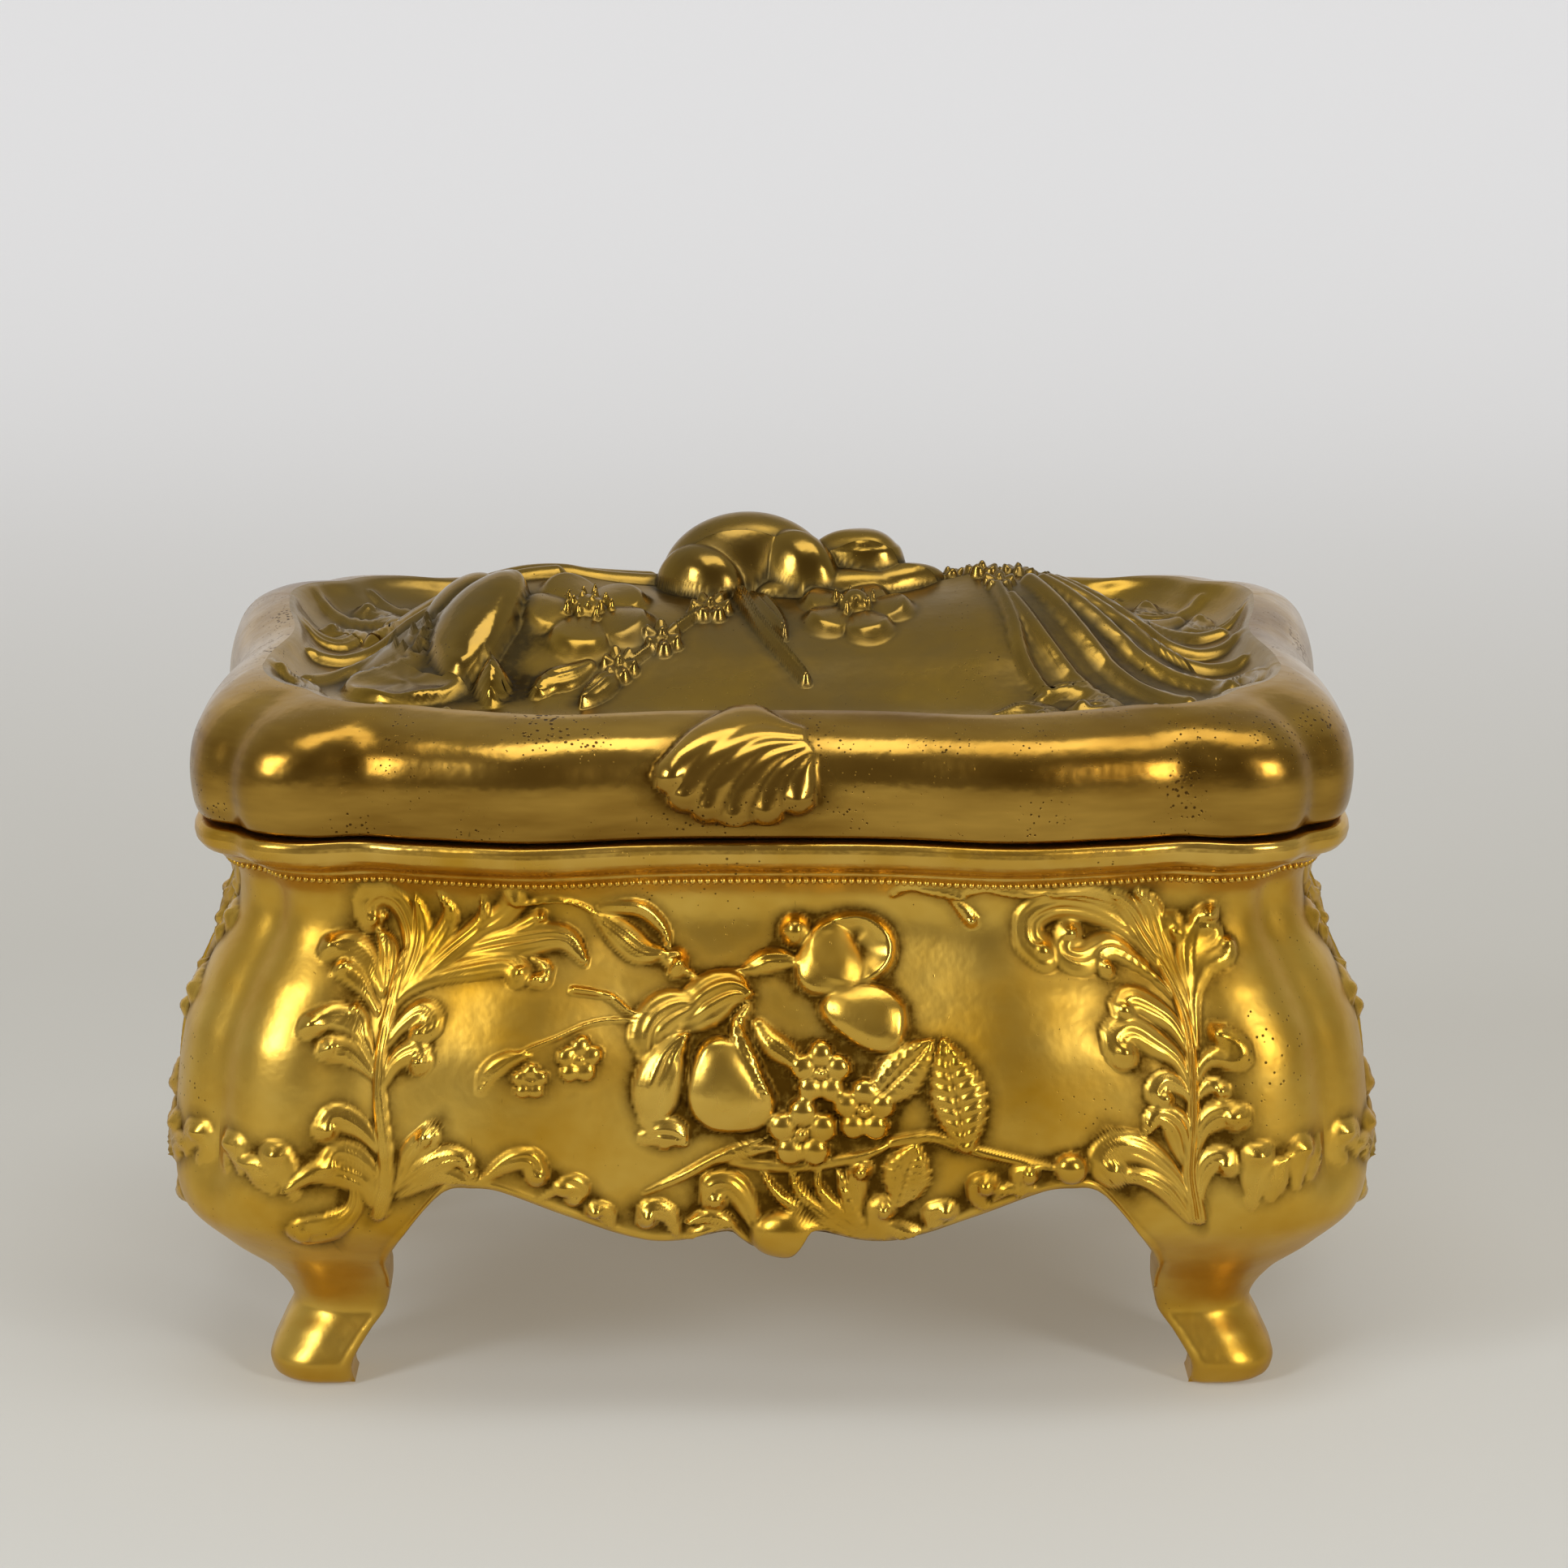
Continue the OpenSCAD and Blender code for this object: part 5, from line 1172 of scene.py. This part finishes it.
print("silk")
lining = {"margin": 2.5, "thick": 2.4, "top": 76.6, "floor": 36.1, "card": 1.2, "cushion": 6.5, "cord": 1.0,
          "lidCard": 84.5, "lidMargin": 4.1, "pad": 4.0}
silk, silkShader = newMaterial("silk", (0.62, 0.47, 0.27), 0, 0.42)
silkShader.inputs["Sheen Weight"].default_value = 0.35
silkWhere = addNode(silk, "TexCoord", {}).outputs["Object"]
threads = addNode(silk, "TexNoise", {"Scale": 2600, "Vector": silkWhere}).outputs["Fac"]
soften = addNode(silk, "Bump", {"Strength": 0.35, "Distance": 0.0002, "Height": threads})
silk.node_tree.links.new(soften.outputs["Normal"], silkShader.inputs["Normal"])


def neckOutline(t, margin):
    a = casket["width"] / 2 - casket["neckInset"] - margin
    b = np.maximum(casket["depth"] / 2 - casket["neckInset"] - margin, 0.012)
    radius = np.minimum(np.maximum(3, casket["cornerRadius"] - margin), b * 0.94)
    return planPoint(t, a, b, radius, np.clip(b / 25, 0, 1), 0)


def padRing(name, outline, profile, columns, rows, pleats, depth, body, node, weld=middleWeld,
            flip=False, flatFrom=100.0):
    # rings over a profile of share, margin, height and depth of the pleats
    # past flatFrom they draw in evenly to a line along the middle
    keys = np.array(profile, float)
    last = max(keys[:, 1].max(), flatFrom + 1)

    def place(u, v):
        t, sx, sy = aroundPlan(u)
        margin, z = np.interp(v, keys[:, 0], keys[:, 1]), np.interp(v, keys[:, 0], keys[:, 2])
        folds = np.interp(v, keys[:, 0], keys[:, 3])
        wave = np.sin(2 * np.pi * pleats * u + 1.3 * np.sin(9 * u) + 2 * np.sin(23 * u)) * folds * depth
        inner = np.clip((margin - flatFrom) / (last - flatFrom), 0, 1)
        x, y = outline(t, np.clip(margin + wave, 0, flatFrom))
        return x * sx * (1 - 0.6 * inner), y * sy * (1 - inner), z
    piece = finishPiece(name, gridSheet(columns, rows, place, weld, flip), silk)
    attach(piece, body)
    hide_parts(node)
    return piece


base = lining["floor"]
wallSilk = padRing("wallSilk", neckOutline, [
    (0, 2.55, base, 0), (0.2, 2.55, base + 20, 0), (0.4, 2.55, 76.0, 0), (0.43, 2.8, 76.5, 0),
    (0.46, 3.7, lining["top"], 0.3), (0.5, 4.6, 76.2, 0.8), (0.54, 4.85, 75.2, 1), (0.6, 4.7, 73, 1),
    (0.75, 4.5, 56, 0.7), (0.9, 4.7, 39, 1), (0.94, 4.85, base + 0.1, 0.6), (0.97, 4.0, base, 0),
    (1, 2.55, base, 0)],
    900, 60, 104, 0.16, "tub", "wall_lining", seamWeld)
m = lining["margin"] + lining["thick"] + 0.3
low = base + lining["card"]
middle = casket["depth"] / 2 - neckInset - 0.01
floorCushion = padRing("floorCushion", neckOutline, [
    (0, middle, low, 0), (0.12, m + 8, low, 0), (0.2, m + 1.4, low, 0), (0.25, m + 0.5, low + 1.0, 0.4),
    (0.3, m - 0.45, low + 2.4, 0.6), (0.34, m - 0.3, low + 3.9, 1), (0.38, m + 0.8, low + 4.8, 0.8),
    (0.44, m + 3, low + 5.6, 0.5), (0.55, m + 8, low + 6.3, 0.15),
    (0.66, m + 14, low + lining["cushion"], 0), (1, middle, low + lining["cushion"], 0)],
    560, 64, 84, 0.22, "tub", "floor_cushion", flatFrom=m + 9)
m = lining["lidMargin"] + 2.3
low = lining["lidCard"]
middle = lid["bandY"]


def padOutline(t, margin):
    return lidOutline(t, margin, np.clip((middle - margin) / 25, 0, 1))


lidPad = padRing("lidPad", padOutline, [
    (0, middle, low, 0), (0.12, m + 8, low, 0), (0.2, m + 1.4, low, 0), (0.26, m + 0.3, low - 0.9, 0.5),
    (0.32, m - 0.4, low - 1.7, 1), (0.38, m + 0.7, low - 2.6, 1), (0.45, m + 3, low - 3.3, 0.6),
    (0.56, m + 8, low - 3.85, 0.15), (0.66, m + 14, low - lining["pad"], 0),
    (1, middle, low - lining["pad"], 0)],
    600, 60, 92, 0.22, "lid", "lid_pad", flip=True, flatFrom=m + 9)


def twistedCord(name, outline, margin, height, twists, body, node):
    # two strands laid round each other, as a ring whose section turns along its length
    def place(u, v):
        t, sx, sy = aroundPlan(u)
        q = 2 * np.pi * v
        reach = lining["cord"] * (0.86 + 0.13 * np.cos(2 * q + 2 * np.pi * twists * u))
        x, y = outline(t, margin + reach * np.cos(q))
        return x * sx, y * sy, height + reach * np.sin(q)
    piece = finishPiece(name, gridSheet(1500, 12, place, seamWeld), silk)
    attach(piece, body)
    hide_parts(node)


def lidCordOutline(t, margin):
    return lidOutline(t, margin, 1.0)


twistedCord("mouthCord", neckOutline, lining["margin"] + 1, lining["top"] + 1, 260, "tub", "mouth_cord")
twistedCord("lidCord", lidCordOutline, lining["lidMargin"] + 1, low - 1, 280, "lid", "lid_cord")

print("plates")
cardStock, _ = newMaterial("cardStock", (0.32, 0.24, 0.15), 0, 0.9)
for node, material in (("base_plate", brass), ("floor_card", cardStock), ("lid_card", cardStock)):
    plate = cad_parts[node]
    plate.data.materials.clear()
    plate.data.materials.append(material)

print("studio")
camera = bpy.data.cameras.new("camera")
cameraObject = bpy.data.objects.new("camera", camera)
scene.collection.objects.link(cameraObject)
scene.camera = cameraObject
view = {"elevation": 14, "distance": 0.8, "target": 0.0745, "field": 15.62, "shift": 0.0078}
tilt = math.radians(view["elevation"])
cameraObject.location = (0, -view["distance"] * math.cos(tilt),
                         view["target"] + view["distance"] * math.sin(tilt))
cameraObject.rotation_euler = (math.radians(90) - tilt, 0, 0)
camera.angle = math.radians(view["field"])
camera.shift_x = view["shift"]
camera.clip_start = 0.05

paper, paperShader = newMaterial("paper", (0.42, 0.44, 0.44), 0, 0.9)
paperWhere = addNode(paper, "TexCoord", {}).outputs["Object"]
paperDepth = addNode(paper, "SeparateXYZ", {0: paperWhere}).outputs["Y"]
farther = addNode(paper, "MapRange", {"Value": paperDepth, "From Min": 0.1, "From Max": 0.9},
                  interpolation_type="SMOOTHSTEP").outputs["Result"]
# painted light: the backdrop glows dim and warm at the front and pale at the back, painting the light's
# fall-off and lifting the floor's shadow
backdropPaintedLight = addNode(paper, "Mix", {0: farther, 6: (0.21, 0.182, 0.14, 1), 7: (0.52, 0.51, 0.52, 1)},
               data_type="RGBA").outputs[2]
# the pale backdrop is seen by the camera and in the metal, and adds no light of its own
rays = addNode(paper, "LightPath", {}).outputs
seen = addNode(paper, "Math", {0: rays["Is Camera Ray"], 1: rays["Is Glossy Ray"]},
               operation="MAXIMUM").outputs[0]
anyRay = addNode(paper, "Math", {0: seen, 1: rays["Is Transmission Ray"]}, operation="MAXIMUM").outputs[0]
paper.node_tree.links.new(backdropPaintedLight, paperShader.inputs["Emission Color"])
paper.node_tree.links.new(anyRay, paperShader.inputs["Emission Strength"])
# the backdrop in metres: its front edge, the floor's length, the bend's radius and the whole reach
sweep = {"front": -2.3, "bend": 2.9, "radius": 0.45, "reach": 4.2, "width": 4.2}


def backdropPoint(u, v):
    # a floor that rolls up into the wall behind
    reach = v * sweep["reach"]
    bend, radius = sweep["bend"], sweep["radius"]
    turn = np.clip((reach - bend) / radius, 0, np.pi / 2)
    y = sweep["front"] + np.minimum(reach, bend) + radius * np.sin(turn)
    z = radius * (1 - np.cos(turn)) + np.maximum(reach - bend - radius * np.pi / 2, 0)
    return (u - 0.5) * sweep["width"] / mm, y / mm, z / mm


backdrop = finishPiece("backdrop", gridSheet(4, 96, backdropPoint), paper)
world = bpy.data.worlds.new("world")
scene.world = world
world.use_nodes = True
world.node_tree.nodes.clear()
facing = addNode(world, "TexCoord", {}).outputs["Generated"]
ahead = addNode(world, "SeparateXYZ", {0: facing}).outputs["Y"]
dusk = addNode(world, "MapRange", {"Value": ahead, "From Min": -0.75, "From Max": 0.35}).outputs["Result"]
room = addNode(world, "Mix", {0: dusk, 6: (0.22, 0.19, 0.155, 1), 7: (0.6, 0.61, 0.63, 1)},
               data_type="RGBA").outputs[2]
lamp = addNode(world, "Background", {"Color": room, "Strength": 0.8}).outputs[0]
addNode(world, "OutputWorld", {0: lamp})


def softLight(name, place, target, size, power, color):
    data = bpy.data.lights.new(name, "AREA")
    data.shape = "RECTANGLE"
    data.size, data.size_y = size
    data.energy = power
    data.color = color
    item = bpy.data.objects.new(name, data)
    scene.collection.objects.link(item)
    item.location = place
    item.rotation_euler = (Vector(target) - Vector(place)).to_track_quat("-Z", "Y").to_euler()


softLight("window", (-0.62, -0.62, 0.5), (0, 0, 0.06), (0.22, 0.42), 4.2, (0.95, 0.97, 1.0))
softLight("secondWindow", (0.62, -0.72, 0.42), (0, 0, 0.06), (0.18, 0.36), 3.6, (1.0, 0.98, 0.95))
softLight("overhead", (0.1, -0.22, 0.95), (0, 0, 0.06), (0.8, 0.36), 2.8, (1, 0.99, 0.97))
